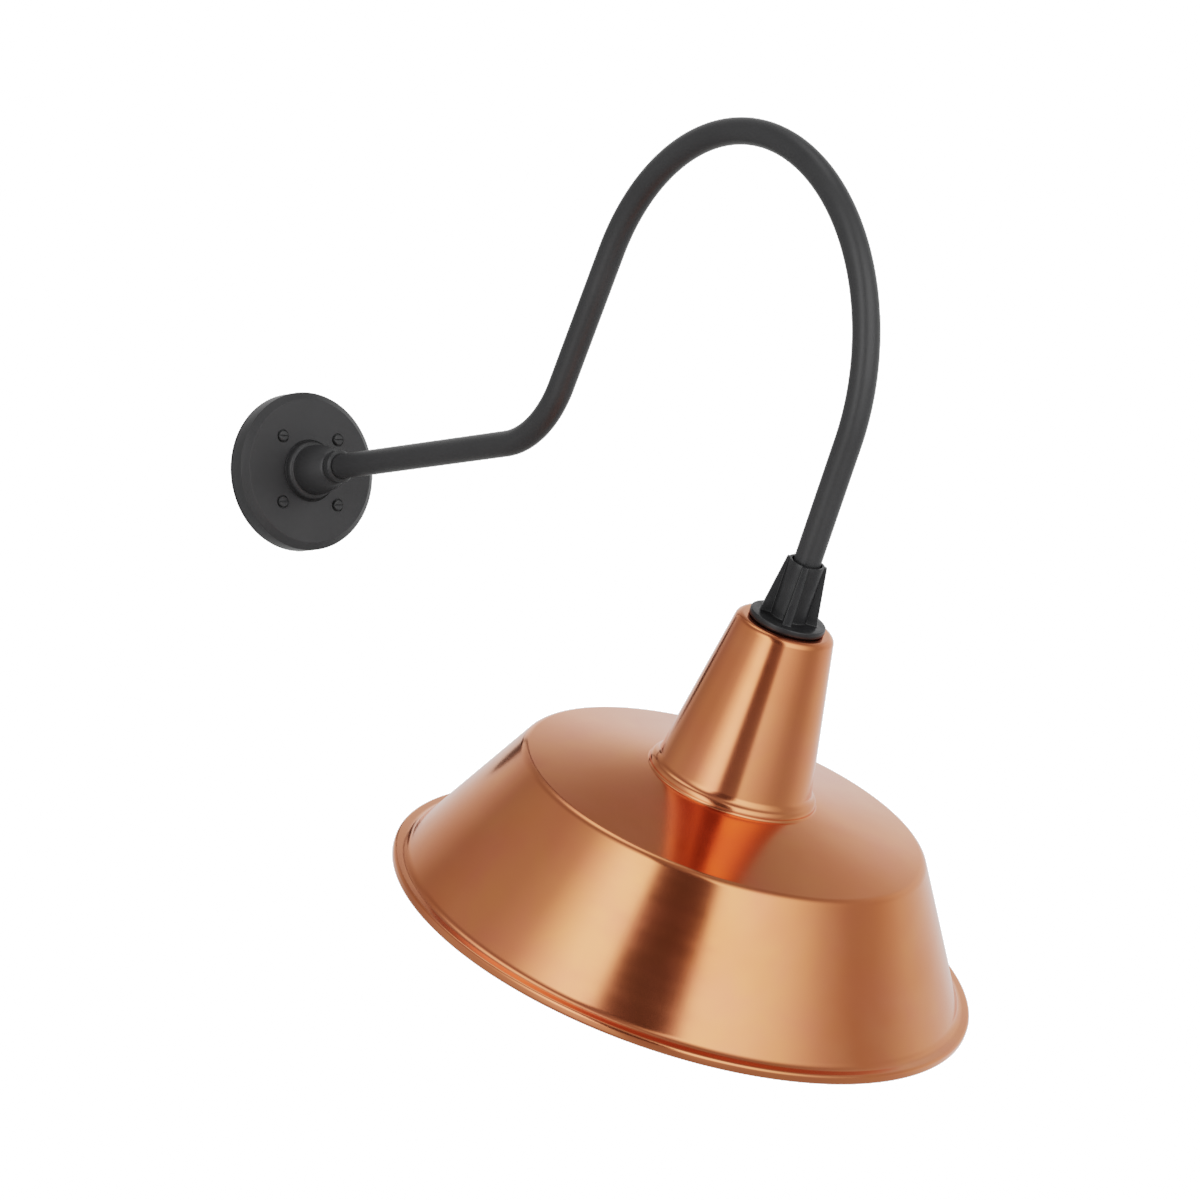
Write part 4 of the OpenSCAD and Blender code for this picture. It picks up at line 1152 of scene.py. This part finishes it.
@dataclass
class Canopy:
    """The cast wall canopy with its hub, and the plate, screws and gasket that hold it."""

    radius: float = 59.5 * MM
    back: float = 1.5 * MM
    side: float = 12.3 * MM
    bevel_width: float = 5.3 * MM
    bevel_height: float = 4.2 * MM
    wall: float = 4 * MM
    hub_radius: float = 18.6 * MM
    hub_length: float = 34 * MM
    hub_straight: float = 12 * MM
    nose_radius: float = 12.8 * MM
    roll_radius: float = 21.9 * MM
    roll_height: float = 6 * MM
    groove: float = 1.5 * MM
    bolt_radius: float = 34.925 * MM
    recess_radius: float = 5 * MM
    recess_depth: float = 0.8 * MM
    tube_radius: float = 9.25 * MM
    running: float = 0.05 * MM
    grub_radius: float = 2.5 * MM
    grub_below: float = 3 * MM
    grub_hole: tuple[float, float] = (8 * MM, 25 * MM)
    screws: int = 4
    first_screw: float = 45.0
    screw_hole: float = 2.6 * MM
    screw_head: float = 4.1 * MM
    screw_height: float = 2.8 * MM
    screw_shank: float = 2.1 * MM
    screw_length: float = 10.2 * MM
    slot_width: float = 1.1 * MM
    slot_depth: float = 1.2 * MM
    loose_turn: float = 6.0

    @property
    def face(self) -> float:
        """Distance of the front face from the wall."""
        return self.back + self.side + self.bevel_height

    @property
    def nose(self) -> float:
        """Distance of the hub's nose from the wall."""
        return self.face + self.hub_length

    def casting_outline(self) -> list[Point]:
        """The casting's outline, from its cavity over its face and hub to its bore.

        Returns:
            The outline's points as radius and distance from the wall.
        """
        face, nose, cavity = self.face, self.nose, self.radius - self.wall
        bore = self.tube_radius + self.running
        rim = rounded([
            (bore, face - self.wall, 0.3 * MM), (cavity, face - self.wall, 1.2 * MM), (cavity, self.back, 0.3 * MM),
            (self.radius, self.back, 0.4 * MM), (self.radius, self.back + self.side, 0.7 * MM),
            (self.radius - self.bevel_width, face, 0.7 * MM), (self.roll_radius + self.groove, face, 0.4 * MM),
            (self.roll_radius + self.groove / 2, face - 0.9 * MM, 0.2 * MM), (self.roll_radius, face + 0.4 * MM, 0.0),
        ], ends=Ends.OPEN)
        roll = bezier((self.roll_radius, face + 1 * MM), (self.roll_radius, face + self.roll_height),
                      (self.hub_radius, face + self.roll_height), 10)
        middle = (face + self.hub_straight + nose) / 2
        taper = bezier((self.hub_radius, face + self.hub_straight), (self.hub_radius - 1.4 * MM, middle),
                       (self.nose_radius, nose - 1 * MM), 14)
        tip = rounded([(self.nose_radius, nose - 1 * MM, 0.0), (self.nose_radius - 1 * MM, nose, 0.5 * MM),
                       (bore, nose, 0.3 * MM), (bore, face, 0.0)], ends=Ends.OPEN)
        return rim + roll + taper + tip[1:]

    def build(self, shop: Workshop) -> None:
        """Makes the casting and its screws, and dresses what lies behind it.

        Args:
            shop: The workshop.
        """
        casting = shop.turned("canopy_casting", self.casting_outline(), Look.CHARCOAL, segments=192)
        seat, above = self.face - self.recess_depth, 1 * MM
        cutters = []
        for i in range(self.screws):
            angle = math.radians(self.first_screw + 360 / self.screws * i)
            at = Matrix.Translation((self.bolt_radius * math.cos(angle), self.bolt_radius * math.sin(angle), 0))
            cutters.append(shop.drill(Look.CHARCOAL, self.recess_radius, seat, self.face + 2 * above, at, 64))
            cutters.append(shop.drill(Look.CHARCOAL, self.screw_hole, self.back, self.face + above, at))
        at = Matrix.Translation((0, 0, self.face + self.hub_straight - self.grub_below))
        down = at @ Matrix.Rotation(math.radians(90), 4, "X")
        cutters.append(shop.drill(Look.CHARCOAL, self.grub_radius + self.running, *self.grub_hole, down))
        shop.cut(casting, cutters)
        casting.data.transform(ON_WALL)
        settle_piece(casting, "base", "charcoal_paint", "canopy")
        self.build_screws(shop)
        shop.dress_nodes(wall_gasket=Look.RUBBER, mounting_plate=Look.ZINC, ground_screw=Look.CHROMATE,
                         ground_lead=Look.GREEN_LEAD, ground_splice_cap=Look.GREEN_LEAD,
                         hub_set_screw=Look.BLACKENED)

    def build_screws(self, shop: Workshop) -> None:
        """Makes the slotted screws in their recesses.

        Args:
            shop: The workshop.
        """
        head, height, shank, end = self.screw_head, self.screw_height, self.screw_shank, -self.screw_length
        outline = rounded([(0, end, 0.0), (shank, end, 0.3 * MM), (shank, 0, 0.0), (head, 0, 0.0),
                           (head, height, 1.3 * MM), (0, height, 0.0)], ends=Ends.OPEN, steps=8)
        screw = shop.turned("canopy_screw_set", outline, Look.CHARCOAL, ends=Ends.OPEN, segments=48)
        across = Vector((10 * MM, self.slot_width, 2 * self.slot_depth))
        shop.cut(screw, [new_mesh_object("slot_cutter", *box_shape(Vector((0, 0, height)), across))])
        seat = ON_WALL @ Matrix.Translation((0, 0, self.face - self.recess_depth))
        shop.ringed(screw, self.screws, self.bolt_radius, self.first_screw, self.loose_turn, Look.CHARCOAL, seat)
        settle_piece(screw, "base", "dark_steel", "canopy_screws")


@dataclass
class Arm:
    """The bent tube with its collar and nut, and the leads that run through it."""

    radius: float = 9.25 * MM
    wall: float = 1.6 * MM
    start: float = 8.1 * MM
    grip: float = 24 * MM
    collar_radius: float = 12.2 * MM
    collar_length: float = 8 * MM
    collar_gap: float = 0.3 * MM
    collar_fit: float = 0.02 * MM
    collar_foot: float = 0.8 * MM
    collar_crown: float = 1.6 * MM

    def build(self, shop: Workshop, canopy: Canopy) -> None:
        """Makes the tube and the collar at the hub's nose, and dresses the leads and what holds them.

        Args:
            shop: The workshop.
            canopy: The canopy that the arm stands in.
        """
        route = ARM.route(self.start, self.grip)
        tube = shop.swept("bent_tube", route, self.radius, self.wall, Look.CHARCOAL, segments=64)
        settle_piece(tube, "arm", "charcoal_paint", "arm_tube")
        radius, length, bore = self.collar_radius, self.collar_length, self.radius + self.collar_fit
        foot, crown = self.collar_foot, self.collar_crown
        outline = rounded([(bore, 0, 0.2 * MM), (radius - foot, 0, 0.2 * MM), (radius, foot, 0.3 * MM),
                           (radius, length - crown, 0.5 * MM), (radius - crown, length, 0.5 * MM),
                           (bore, length, 0.2 * MM)])
        place = ON_WALL @ Matrix.Translation((0, 0, canopy.nose + self.collar_gap))
        collar = shop.turned("nose_collar", outline, Look.CHARCOAL, place, segments=96)
        settle_piece(collar, "arm", "charcoal_paint", "arm_collar")
        shop.dress_nodes(arm_washer=Look.ZINC, arm_locknut=Look.ZINC, black_lead=Look.BLACK_LEAD,
                         white_lead=Look.WHITE_LEAD, splice_caps=Look.PLASTIC, lead_sleeve=Look.PLASTIC)


@dataclass
class Holder:
    """The ribbed casting that carries the shade, with its set screw."""

    disc_radius: float = 26 * MM
    core_radius: float = 12.4 * MM
    rib_base: float = 19.7 * MM
    rib_top: float = 13.7 * MM
    rib_base_half: float = 3 * MM
    rib_top_half: float = 2.1 * MM
    ribs: int = 4
    turn: float = 50.0
    mouth_radius: float = 10.4 * MM
    mouth_depth: float = 4 * MM
    stub_radius: float = 9.8 * MM
    stub_length: float = 18.6 * MM
    lead_bore: float = 5.2 * MM
    tube_radius: float = 9.3 * MM
    grip: float = 24.3 * MM
    tip_round: float = 0.45 * MM
    root_round: float = 0.7 * MM
    boss_radius: float = 4.5 * MM
    boss_out: float = 15 * MM
    screw_radius: float = 2.55 * MM
    screw_height: float = 12 * MM
    fillet: float = 0.8 * MM
    sharp: float = 50.0

    def angles_and_radii(self, core: float, tip: float, half: float) -> list[tuple[float, float]]:
        """One turn of the ribbed section, as angle and radius.

        Args:
            core: Radius between the ribs.
            tip: Radius at the ribs' tips.
            half: Half of a rib's width.

        Returns:
            The section's points, the same number whatever the sizes.
        """
        edge, root = self.tip_round, self.root_round
        flank = math.sqrt(tip ** 2 - (half - edge) ** 2) - edge
        hollow = math.sqrt((core + root) ** 2 - (half + root) ** 2)
        side: list[Point] = [(math.sqrt(tip ** 2 - v * v), v) for v in ((half - edge) * i / 4 for i in range(4))]
        side += arc((flank, half - edge), edge, 0, 90, 4)
        back = math.degrees(math.atan2(-(half + root), -hollow))
        side += arc((hollow, half + root), root, -90, back, 6)
        polar = [(math.atan2(v, u), math.hypot(u, v)) for u, v in side]
        gap, last = math.pi / self.ribs, polar[-1][0]
        polar += [(last + (gap - last) * i / 8, core) for i in range(1, 9)]
        whole = [(-a, r) for a, r in reversed(polar[1:-1])] + polar
        return [(a + math.tau * k / self.ribs + math.radians(self.turn), r)
                for k in range(self.ribs) for a, r in whole]

    def loops(self) -> list[list[Vector]]:
        """The casting's skin, from the stub's lower end up its outside and down its bore.

        Returns:
            The skin's rings, each with the same number of points.
        """
        low, high = SHADE.disc_low, SHADE.mouth
        cone = low + SHADE.disc
        base = self.angles_and_radii(self.core_radius, self.rib_base, self.rib_base_half)

        def ring(radius: float, height: float) -> list[Vector]:
            """A plain ring with the ribbed section's angles."""
            return [Vector((radius * math.cos(a), radius * math.sin(a), height)) for a, _ in base]

        def ribbed(height: float, inset: float) -> list[Vector]:
            """The ribbed section at a height.

            Args:
                height: The height.
                inset: How far it is drawn in.

            Returns:
                The section's points.
            """
            share = (height - cone) / (high - cone)
            tip = self.rib_base + (self.rib_top - self.rib_base) * share - inset
            half = self.rib_base_half + (self.rib_top_half - self.rib_base_half) * share - inset
            return [Vector((r * math.cos(a), r * math.sin(a), height))
                    for a, r in self.angles_and_radii(self.core_radius - inset, tip, half)]

        stub = rounded([(self.lead_bore, low - self.stub_length, 0.3 * MM),
                        (self.stub_radius, low - self.stub_length, 0.8 * MM), (self.stub_radius, low, 0.3 * MM),
                        (self.disc_radius, low, 0.8 * MM), (self.disc_radius, cone, 0.9 * MM),
                        (self.rib_base + 1.2 * MM, cone, 0.0)], ends=Ends.OPEN)
        rings = [ring(r, z) for r, z in stub]
        for i in range(5):
            a = math.radians(90 * i / 4)
            rings.append(ribbed(cone + self.fillet * (1 - math.cos(a)), -self.fillet * (1 - math.sin(a))))
        straight = SHADE.cone - self.fillet - 0.5 * MM
        rings += [ribbed(cone + self.fillet + straight * i / 12, 0.0) for i in range(1, 13)]
        rings += [ribbed(high - 0.1 * MM, 0.1 * MM), ribbed(high, 0.35 * MM)]
        mouth, seat = high - self.mouth_depth, high - self.grip
        bore = rounded([(self.mouth_radius + 0.9 * MM, high, 0.0), (self.mouth_radius, high, 0.3 * MM),
                        (self.mouth_radius, mouth, 0.2 * MM), (self.tube_radius, mouth, 0.2 * MM),
                        (self.tube_radius, seat, 0.3 * MM), (self.lead_bore, seat, 0.3 * MM),
                        (self.lead_bore, low - self.stub_length + 1 * MM, 0.0)], ends=Ends.OPEN, steps=3)
        return rings + [ring(r, z) for r, z in bore]

    def build(self, shop: Workshop) -> None:
        """Makes the casting and dresses its set screw.

        Args:
            shop: The workshop.
        """
        rings = self.loops()
        around = len(rings[0])
        points = [p for ring in rings for p in ring]
        faces = [(j * around + i, j * around + (i + 1) % around,
                  (j + 1) % len(rings) * around + (i + 1) % around, (j + 1) % len(rings) * around + i)
                 for j in range(len(rings)) for i in range(around)]
        casting = shop.skin("holder_casting", points, faces, Look.CASTING, self.sharp)
        level = Matrix.Translation((0, 0, SHADE.mouth - self.grip + self.screw_height))
        side = level @ Matrix.Rotation(math.radians(-90), 4, "X")
        inside = self.tube_radius + 1 * MM
        boss = rounded([(0, inside, 0.0), (self.boss_radius, inside, 0.0),
                        (self.boss_radius, self.boss_out, 0.5 * MM), (0, self.boss_out, 0.0)], ends=Ends.OPEN)
        shop.combine(casting, Blend.JOIN,
                     [shop.turned("boss", boss, Look.CASTING, side, ends=Ends.OPEN, segments=64)])
        hole = shop.drill(Look.CASTING, self.screw_radius, self.tube_radius - 2 * MM, self.disc_radius, side)
        shop.cut(casting, [hole], self.sharp)
        casting.data.transform(on_shade())
        settle_piece(casting, "shade", "black_cast", "shade_holder")
        shop.dress_nodes(holder_set_screw=Look.BLACKENED)


@dataclass
class Shade:
    """The spun copper shade with its gasket, washer and nut."""

    neck_round: float = 5 * MM
    crease_round: float = 8 * MM
    flange_fillet: float = 7 * MM
    edge_round: float = 2 * MM
    roll_round: float = 2.4 * MM

    def face(self, inset: float) -> list[Point]:
        """One face of the sheet, from the hole in its top to the end of its rolled edge.

        Args:
            inset: How far it lies inside the outer face.

        Returns:
            The face's points as radius and height.
        """
        s = SHADE
        top, low, inner = s.edge_height / 2, -s.edge_height / 2, s.edge_radius - s.edge_width
        corners = [(s.hole, s.top), (s.neck_top, s.top), (s.neck_base, s.foot_top),
                   (s.foot_radius, s.foot_top - s.foot_dip), (s.foot_radius, s.foot_base),
                   (s.crease_radius, s.crease_height), (s.edge_radius - s.flange, top),
                   (s.edge_radius, top - s.flange_dip), (s.edge_radius, low), (inner, low),
                   (inner, low + s.roll_rise)]
        rounds = [self.neck_round, *s.foot_rounds, self.crease_round, self.flange_fillet, self.edge_round,
                  self.roll_round, self.roll_round]
        outline: list[Point] = [(s.hole, s.top - inset)]
        for i, rounding in enumerate(rounds, start=1):
            back, here, ahead = (Vector(corners[j]) for j in (i - 1, i, i + 1))
            into, out = (here - back).normalized(), (ahead - here).normalized()
            turn = math.degrees(math.atan2(into.x * out.y - into.y * out.x, into.dot(out)))
            side = 1 if turn > 0 else -1
            radius = rounding + side * inset
            start = math.degrees(math.atan2(into.y, into.x))
            middle = math.radians(start + turn / 2 - 90)
            spread = math.cos(math.radians(turn / 2))
            centre = here + Vector((math.cos(middle), math.sin(middle))) * ((inset - side * radius) / spread)
            outline += arc((centre.x, centre.y), radius, start - side * 90, start + turn - side * 90, 12)
        return outline + [(inner + inset, low + s.roll_rise)]

    def build(self, shop: Workshop) -> None:
        """Makes the shade and dresses what holds it.

        Args:
            shop: The workshop.
        """
        outline = self.face(0.0) + self.face(SHADE.sheet)[::-1]
        shade = shop.turned("spun_shade", outline, Look.COPPER, on_shade(), segments=288, sharp=SHARP_ON_CURVES)
        settle_piece(shade, "shade", "copper", "shade")
        shop.dress_nodes(neck_gasket=Look.RUBBER, shade_washer=Look.ZINC, shade_locknut=Look.ZINC)


@dataclass
class LampHolder:
    """The porcelain lamp holder with its brass inside, with heights above the middle of the shade's edge."""

    low: float = 164.36 * MM
    length: float = 54 * MM
    radius: float = 23 * MM
    bevel: float = 6 * MM
    lip_radius: float = 17 * MM
    lip_depth: float = 5 * MM
    shell_bore: float = 13.9 * MM
    shell_depth: float = 24.1 * MM
    chamber_low: float = 35 * MM
    chamber_high: float = 46 * MM
    chamber_radius: float = 15.5 * MM
    rivet_radius: float = 2 * MM
    stub_bore: float = 9.85 * MM
    terminal_radius: float = 4.1 * MM
    strap: tuple[float, float] = (1.3 * MM, 7.3 * MM)
    strap_out: float = 13.6 * MM

    def outline(self) -> list[Point]:
        """The body's outline, from the stub's bore down its inside and up its outside.

        Returns:
            The outline's points as radius and height above the body's lower end.
        """
        top, shell = self.length, self.lip_depth + self.shell_depth
        return rounded([
            (self.stub_bore, top, 0.5 * MM), (self.stub_bore, self.chamber_high, 0.0),
            (self.chamber_radius, self.chamber_high, 0.0), (self.chamber_radius, self.chamber_low, 0.0),
            (self.rivet_radius, self.chamber_low, 0.0), (self.rivet_radius, shell, 0.0),
            (self.shell_bore, shell, 0.0), (self.shell_bore, self.lip_depth, 0.4 * MM),
            (self.lip_radius, self.lip_depth, 0.8 * MM), (self.lip_radius, 0, 1.2 * MM),
            (self.radius, 0, 2 * MM), (self.radius, top - self.bevel, 2.5 * MM),
            (self.radius - self.bevel, top, 1.5 * MM)], steps=6)

    def build(self, shop: Workshop) -> None:
        """Makes the porcelain body and dresses what it holds.

        Args:
            shop: The workshop.
        """
        body = shop.turned("porcelain_body", self.outline(), Look.PORCELAIN, segments=144)
        middle = Matrix.Translation((0, 0, (self.chamber_low + self.chamber_high) / 2))
        cutters = [shop.drill(Look.PORCELAIN, self.terminal_radius, self.chamber_radius - 1 * MM,
                              self.radius + 1 * MM, middle @ Matrix.Rotation(math.radians(side), 4, "Y"))
                   for side in (90, -90)]
        thick, wide = self.strap
        shell = self.lip_depth + self.shell_depth
        tall = self.chamber_low - shell + 2 * MM
        slot = box_shape(Vector((self.strap_out, 0, shell + tall / 2 - 1 * MM)), Vector((thick, wide, tall)))
        cutters.append(new_mesh_object("slot_cutter", *slot))
        shop.cut(body, cutters)
        body.data.transform(on_shade(self.low))
        settle_piece(body, "shade", "porcelain", "lamp_holder_body")
        shop.dress_nodes(screw_shell=Look.BRASS, centre_contact=Look.BRASS, line_strap=Look.BRASS,
                         neutral_strap=Look.NICKEL, terminal_screws=Look.BRASS, line_tail=Look.BLACK_LEAD,
                         neutral_tail=Look.WHITE_LEAD)


@dataclass
class Bulb:
    """The screw-cap bulb, with heights above the middle of the shade's edge."""

    globe_radius: float = 30 * MM
    globe_centre: float = 113.86 * MM
    lean: float = 24.0
    neck: float = 12 * MM
    glass: float = 0.8 * MM
    cap_low: float = 165.66 * MM
    cap_length: float = 22 * MM
    cap_radius: float = 13 * MM
    cap_collar: float = 3 * MM
    cap_wall: float = 0.3 * MM
    cap_end: float = 9 * MM
    cap_end_height: float = 1 * MM
    thread_depth: float = 0.7 * MM
    thread_radius: float = 1.1 * MM
    # How far the thread stays from the cap's collar and from the cap's end.
    thread_ends: tuple[float, float] = (1.2 * MM, 1.6 * MM)
    turns: float = 6.0

    def glass_face(self, inset: float) -> list[Point]:
        """One face of the glass, from its bottom to the cap.

        Args:
            inset: How far it lies inside the outer face.

        Returns:
            The face's points as radius and height.
        """
        radius, neck = self.globe_radius - inset, self.neck - inset
        side = math.radians(self.lean)
        across, up = radius * math.cos(side), self.globe_centre + radius * math.sin(side)
        bend = (neck, up + (across - neck) / math.tan(side))
        return ([(0.0, self.globe_centre - radius)] + arc((0.0, self.globe_centre), radius, -88, self.lean, 48)
                + bezier((across, up), bend, (neck, self.cap_low), 18)[1:])

    def build(self, shop: Workshop) -> None:
        """Makes the glass and the threaded cap, and dresses what they hold.

        Args:
            shop: The workshop.
        """
        outline = self.glass_face(0.0) + self.glass_face(self.glass)[::-1]
        globe = shop.turned("bulb_globe", outline, Look.FROSTED, on_shade(), ends=Ends.OPEN, segments=128,
                            sharp=SHARP_ON_CURVES)
        settle_piece(globe, "bulb", "frosted_glass", "bulb_glass")
        core, length = self.cap_radius - self.thread_depth, self.cap_length
        inner, rim, top = self.neck - self.cap_wall, self.cap_radius - 0.2 * MM, length + self.cap_end_height
        skin = rounded([(inner, 0, 0.0), (rim, 0, 0.2 * MM), (rim, self.cap_collar - 1 * MM, 0.5 * MM),
                        (core, self.cap_collar, 0.3 * MM), (core, length - 0.6 * MM, 0.8 * MM),
                        (self.cap_end, top, 0.1 * MM), (self.cap_end - self.cap_wall, top, 0.0),
                        (inner, length - self.cap_wall, 0.0)])
        cap = shop.turned("threaded_cap", skin, Look.NICKEL, segments=96)
        start = self.cap_collar + self.thread_ends[0]
        cap.data.transform(Matrix.Translation((0, 0, -start)))
        shop.threaded(cap, self.turns, self.cap_radius - self.thread_radius,
                      length - start - self.thread_ends[1], self.thread_radius, Look.NICKEL,
                      on_shade(self.cap_low + start))
        settle_piece(cap, "bulb", "nickel", "bulb_cap")
        shop.dress_nodes(bulb_stem=Look.CLEAR, bulb_filament=Look.WIRE, bulb_insulator=Look.INSULATOR,
                         bulb_contact=Look.NICKEL)


# Studio and camera


@dataclass(frozen=True)
class SoftBox:
    """One soft light, aimed at a point."""

    name: str
    at: tuple[float, float, float]
    size: tuple[float, float]
    power: float

    def build(self, target: Vector) -> None:
        """Hangs the light and aims it. No shiny face mirrors it.

        Args:
            target: The point that it is aimed at.
        """
        light = bpy.data.lights.new(self.name, "AREA")
        light.shape, light.size, light.size_y = "RECTANGLE", *self.size
        light.energy = self.power
        lamp = bpy.data.objects.new(self.name, light)
        lamp.visible_glossy = False
        bpy.context.scene.collection.objects.link(lamp)
        lamp.location = Vector(self.at)
        lamp.rotation_euler = (target - Vector(self.at)).to_track_quat("-Z", "Y").to_euler()


@dataclass(frozen=True)
class Studio:
    """The photograph's camera, a pale floor, a pale surround and soft lights."""

    camera_at: tuple[float, float, float] = (-2.09110, -3.12635, -0.36260)
    yaw: float = 37.2584
    pitch: float = 4.0535
    roll: float = -0.0546
    lens: float = 150.0
    sensor: float = 36.0
    clip: tuple[float, float] = (0.1, 60.0)
    floor_level: float = -0.78
    floor_size: float = 3.4
    floor_out: float = 0.3
    floor_tone: float = 0.86
    floor_roughness: float = 0.9
    # One soft light each side of the camera and one above, all aimed at one point.
    target: tuple[float, float, float] = (0.0, -0.4, -0.15)
    boxes: tuple[SoftBox, ...] = (
        SoftBox("left_box", (-3.0, -1.6, 0.7), (1.0, 2.0), 16),
        SoftBox("right_box", (0.9, -3.0, 0.4), (1.0, 2.0), 20),
        SoftBox("top_box", (0.5, 0.9, 2.4), (2.0, 2.0), 1))
    view: str = "Filmic"
    look: str = "High Contrast"
    exposure: float = 1.0
    strength: float = 0.8
    backdrop: float = 1.3
    # Tones above the first point climb towards the second, so that the backdrop turns white.
    white: tuple[Point, Point] = ((1.0, 1.0), (1.1, 7.0))
    # How far the panels lean as they rise.
    lean: float = 0.25
    # The surround's tones, by how many degrees a direction lies to the right of the camera.
    around: tuple[Point, ...] = (
        (-180, 0.55), (-160, 0.42), (-130, 0.18), (-100, 0.25), (-80, 0.26), (-60, 0.35), (-48, 0.66),
        (-36, 1.0), (-22, 1.0), (-18, 0.06), (9, 0.06), (13, 0.98), (32, 0.84), (50, 0.60), (65, 0.34),
        (80, 0.22), (95, 0.25), (115, 0.40), (150, 0.50), (180, 0.55))
    # The tones above and below them, by degrees above the horizon.
    upright: tuple[Point, ...] = ((-90, 0.20), (-50, 0.20), (0, 0.25), (60, 0.15), (72, 0.2), (90, 0.8))
    # How much of the tones around shows over those, by degrees above the horizon.
    reach: tuple[Point, ...] = ((-55, 0.0), (-30, 0.30), (-10, 1.0), (32, 1.0), (60, 0.0))

    def axes(self) -> tuple[Vector, Vector, Vector]:
        """The camera's directions.

        Returns:
            Its right, its up and its forward direction.
        """
        yaw, pitch, roll = (math.radians(a) for a in (self.yaw, self.pitch, self.roll))
        forward = Vector((math.sin(yaw) * math.cos(pitch), math.cos(yaw) * math.cos(pitch), math.sin(pitch)))
        right = Vector((math.cos(yaw), -math.sin(yaw), 0.0))
        up = right.cross(forward)
        turned = right * math.cos(roll) + up * math.sin(roll)
        return turned, turned.cross(forward), forward

    def build(self) -> None:
        """Sets up the camera, the surround, the floor and the lights."""
        scene = bpy.context.scene
        camera = bpy.data.cameras.new("photo_camera")
        camera.lens, camera.sensor_width, camera.sensor_fit = self.lens, self.sensor, "HORIZONTAL"
        camera.clip_start, camera.clip_end = self.clip
        eye = bpy.data.objects.new("photo_camera", camera)
        scene.collection.objects.link(eye)
        right, up, forward = self.axes()
        turn = Matrix((right, up, -forward)).transposed()
        eye.matrix_world = Matrix.Translation(self.camera_at) @ turn.to_4x4()
        scene.camera = eye
        scene.view_settings.view_transform = self.view
        scene.view_settings.look = self.look
        scene.view_settings.exposure = self.exposure
        self.lift_backdrop(scene.view_settings)
        self.build_surround(right, forward)
        self.build_floor()
        for box in self.boxes:
            box.build(Vector(self.target))

    def lift_backdrop(self, view: bpy.types.ColorManagedViewSettings) -> None:
        """Bends the view's tone curve up above the copper's brightest tones.

        Args:
            view: The scene's view settings.
        """
        view.use_curve_mapping = True
        mapping = view.curve_mapping
        mapping.use_clip, mapping.extend = False, "EXTRAPOLATED"
        curve = mapping.curves[3]
        knee, top = self.white
        curve.points[1].location = top
        curve.points.new(*knee)
        for point in curve.points:
            point.handle_type = "VECTOR"
        mapping.update()

    def build_surround(self, right: Vector, forward: Vector) -> None:
        """A white surround with two bright panels in front, a dark gap between them and a dim ceiling.

        Args:
            right: The camera's right direction.
            forward: Its forward direction.
        """
        world = bpy.data.worlds.new("studio_surround")
        bpy.context.scene.world = world
        world.use_nodes = True
        world.node_tree.nodes.clear()
        sheet = Sheet(world.node_tree)
        direction = sheet.add("ShaderNodeTexCoord").outputs["Generated"]
        toward = Vector((-forward.x, -forward.y, 0.0)).normalized()
        aside, ahead = (sheet.add("ShaderNodeVectorMath", {0: direction, 1: axis},
                                  operation="DOT_PRODUCT").outputs["Value"] for axis in (right, toward))
        around = sheet.math("ARCTAN2", aside, ahead)
        height = sheet.add("ShaderNodeSeparateXYZ", {0: direction}).outputs[2]
        leaning = sheet.math("SUBTRACT", around, sheet.math("MULTIPLY", height, self.lean))
        ring = sheet.ramp(sheet.spread(leaning, -math.pi, math.pi, 0.0, 1.0),
                          [((a + 180) / 360, (c, c, c)) for a, c in self.around])
        share, above = (sheet.ramp(sheet.spread(height, -1.0, 1.0, 0.0, 1.0),
                                   [((math.sin(math.radians(a)) + 1) / 2, (c, c, c)) for a, c in tones])
                        for tones in (self.reach, self.upright))
        tone = sheet.mix(share, above, ring)
        seen = sheet.add("ShaderNodeLightPath").outputs["Is Camera Ray"]
        lit = sheet.add("ShaderNodeBackground", {"Color": tone, "Strength": self.strength})
        white = sheet.add("ShaderNodeBackground", {"Color": (1, 1, 1, 1), "Strength": self.backdrop})
        both = sheet.add("ShaderNodeMixShader", {0: seen, 1: lit.outputs[0], 2: white.outputs[0]})
        sheet.add("ShaderNodeOutputWorld", {"Surface": both.outputs[0]})

    def build_floor(self) -> None:
        """A plain pale floor below the light, clear from underneath, which isn't part of it."""
        half = self.floor_size / 2
        corners = ((-1, -1), (1, -1), (1, 1), (-1, 1))
        points = [(x * half, y * half - self.floor_out, self.floor_level) for x, y in corners]
        floor = new_mesh_object("studio_floor", points, faces=[(0, 1, 2, 3)])
        material = bpy.data.materials.new("pale_floor")
        material.use_nodes = True
        shader = material.node_tree.nodes["Principled BSDF"]
        shader.inputs["Base Color"].default_value = (self.floor_tone, self.floor_tone, self.floor_tone, 1.0)
        shader.inputs["Roughness"].default_value = self.floor_roughness
        sheet = Sheet(material.node_tree)
        under = sheet.add("ShaderNodeNewGeometry").outputs["Backfacing"]
        clear = sheet.add("ShaderNodeBsdfTransparent")
        sides = sheet.add("ShaderNodeMixShader", {0: under, 1: shader.outputs[0], 2: clear.outputs[0]})
        output = material.node_tree.nodes["Material Output"]
        sheet.tree.links.new(sides.outputs[0], output.inputs["Surface"])
        floor.data.materials.append(material)
        floor.visible_glossy = False


def main() -> None:
    """Builds the light's sub-assemblies in order, then the studio."""
    logging.basicConfig(level=logging.INFO, format="%(name)s: %(message)s")
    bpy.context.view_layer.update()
    effects = Effects()
    shop = Workshop(Trees(), {finish.look: finish.build(effects) for finish in finishes()})
    canopy = Canopy()
    canopy.build(shop)
    Arm().build(shop, canopy)
    Holder().build(shop)
    Shade().build(shop)
    LampHolder().build(shop)
    Bulb().build(shop)
    Studio().build()
    bpy.context.view_layer.update()


if __name__ == "__main__":
    main()
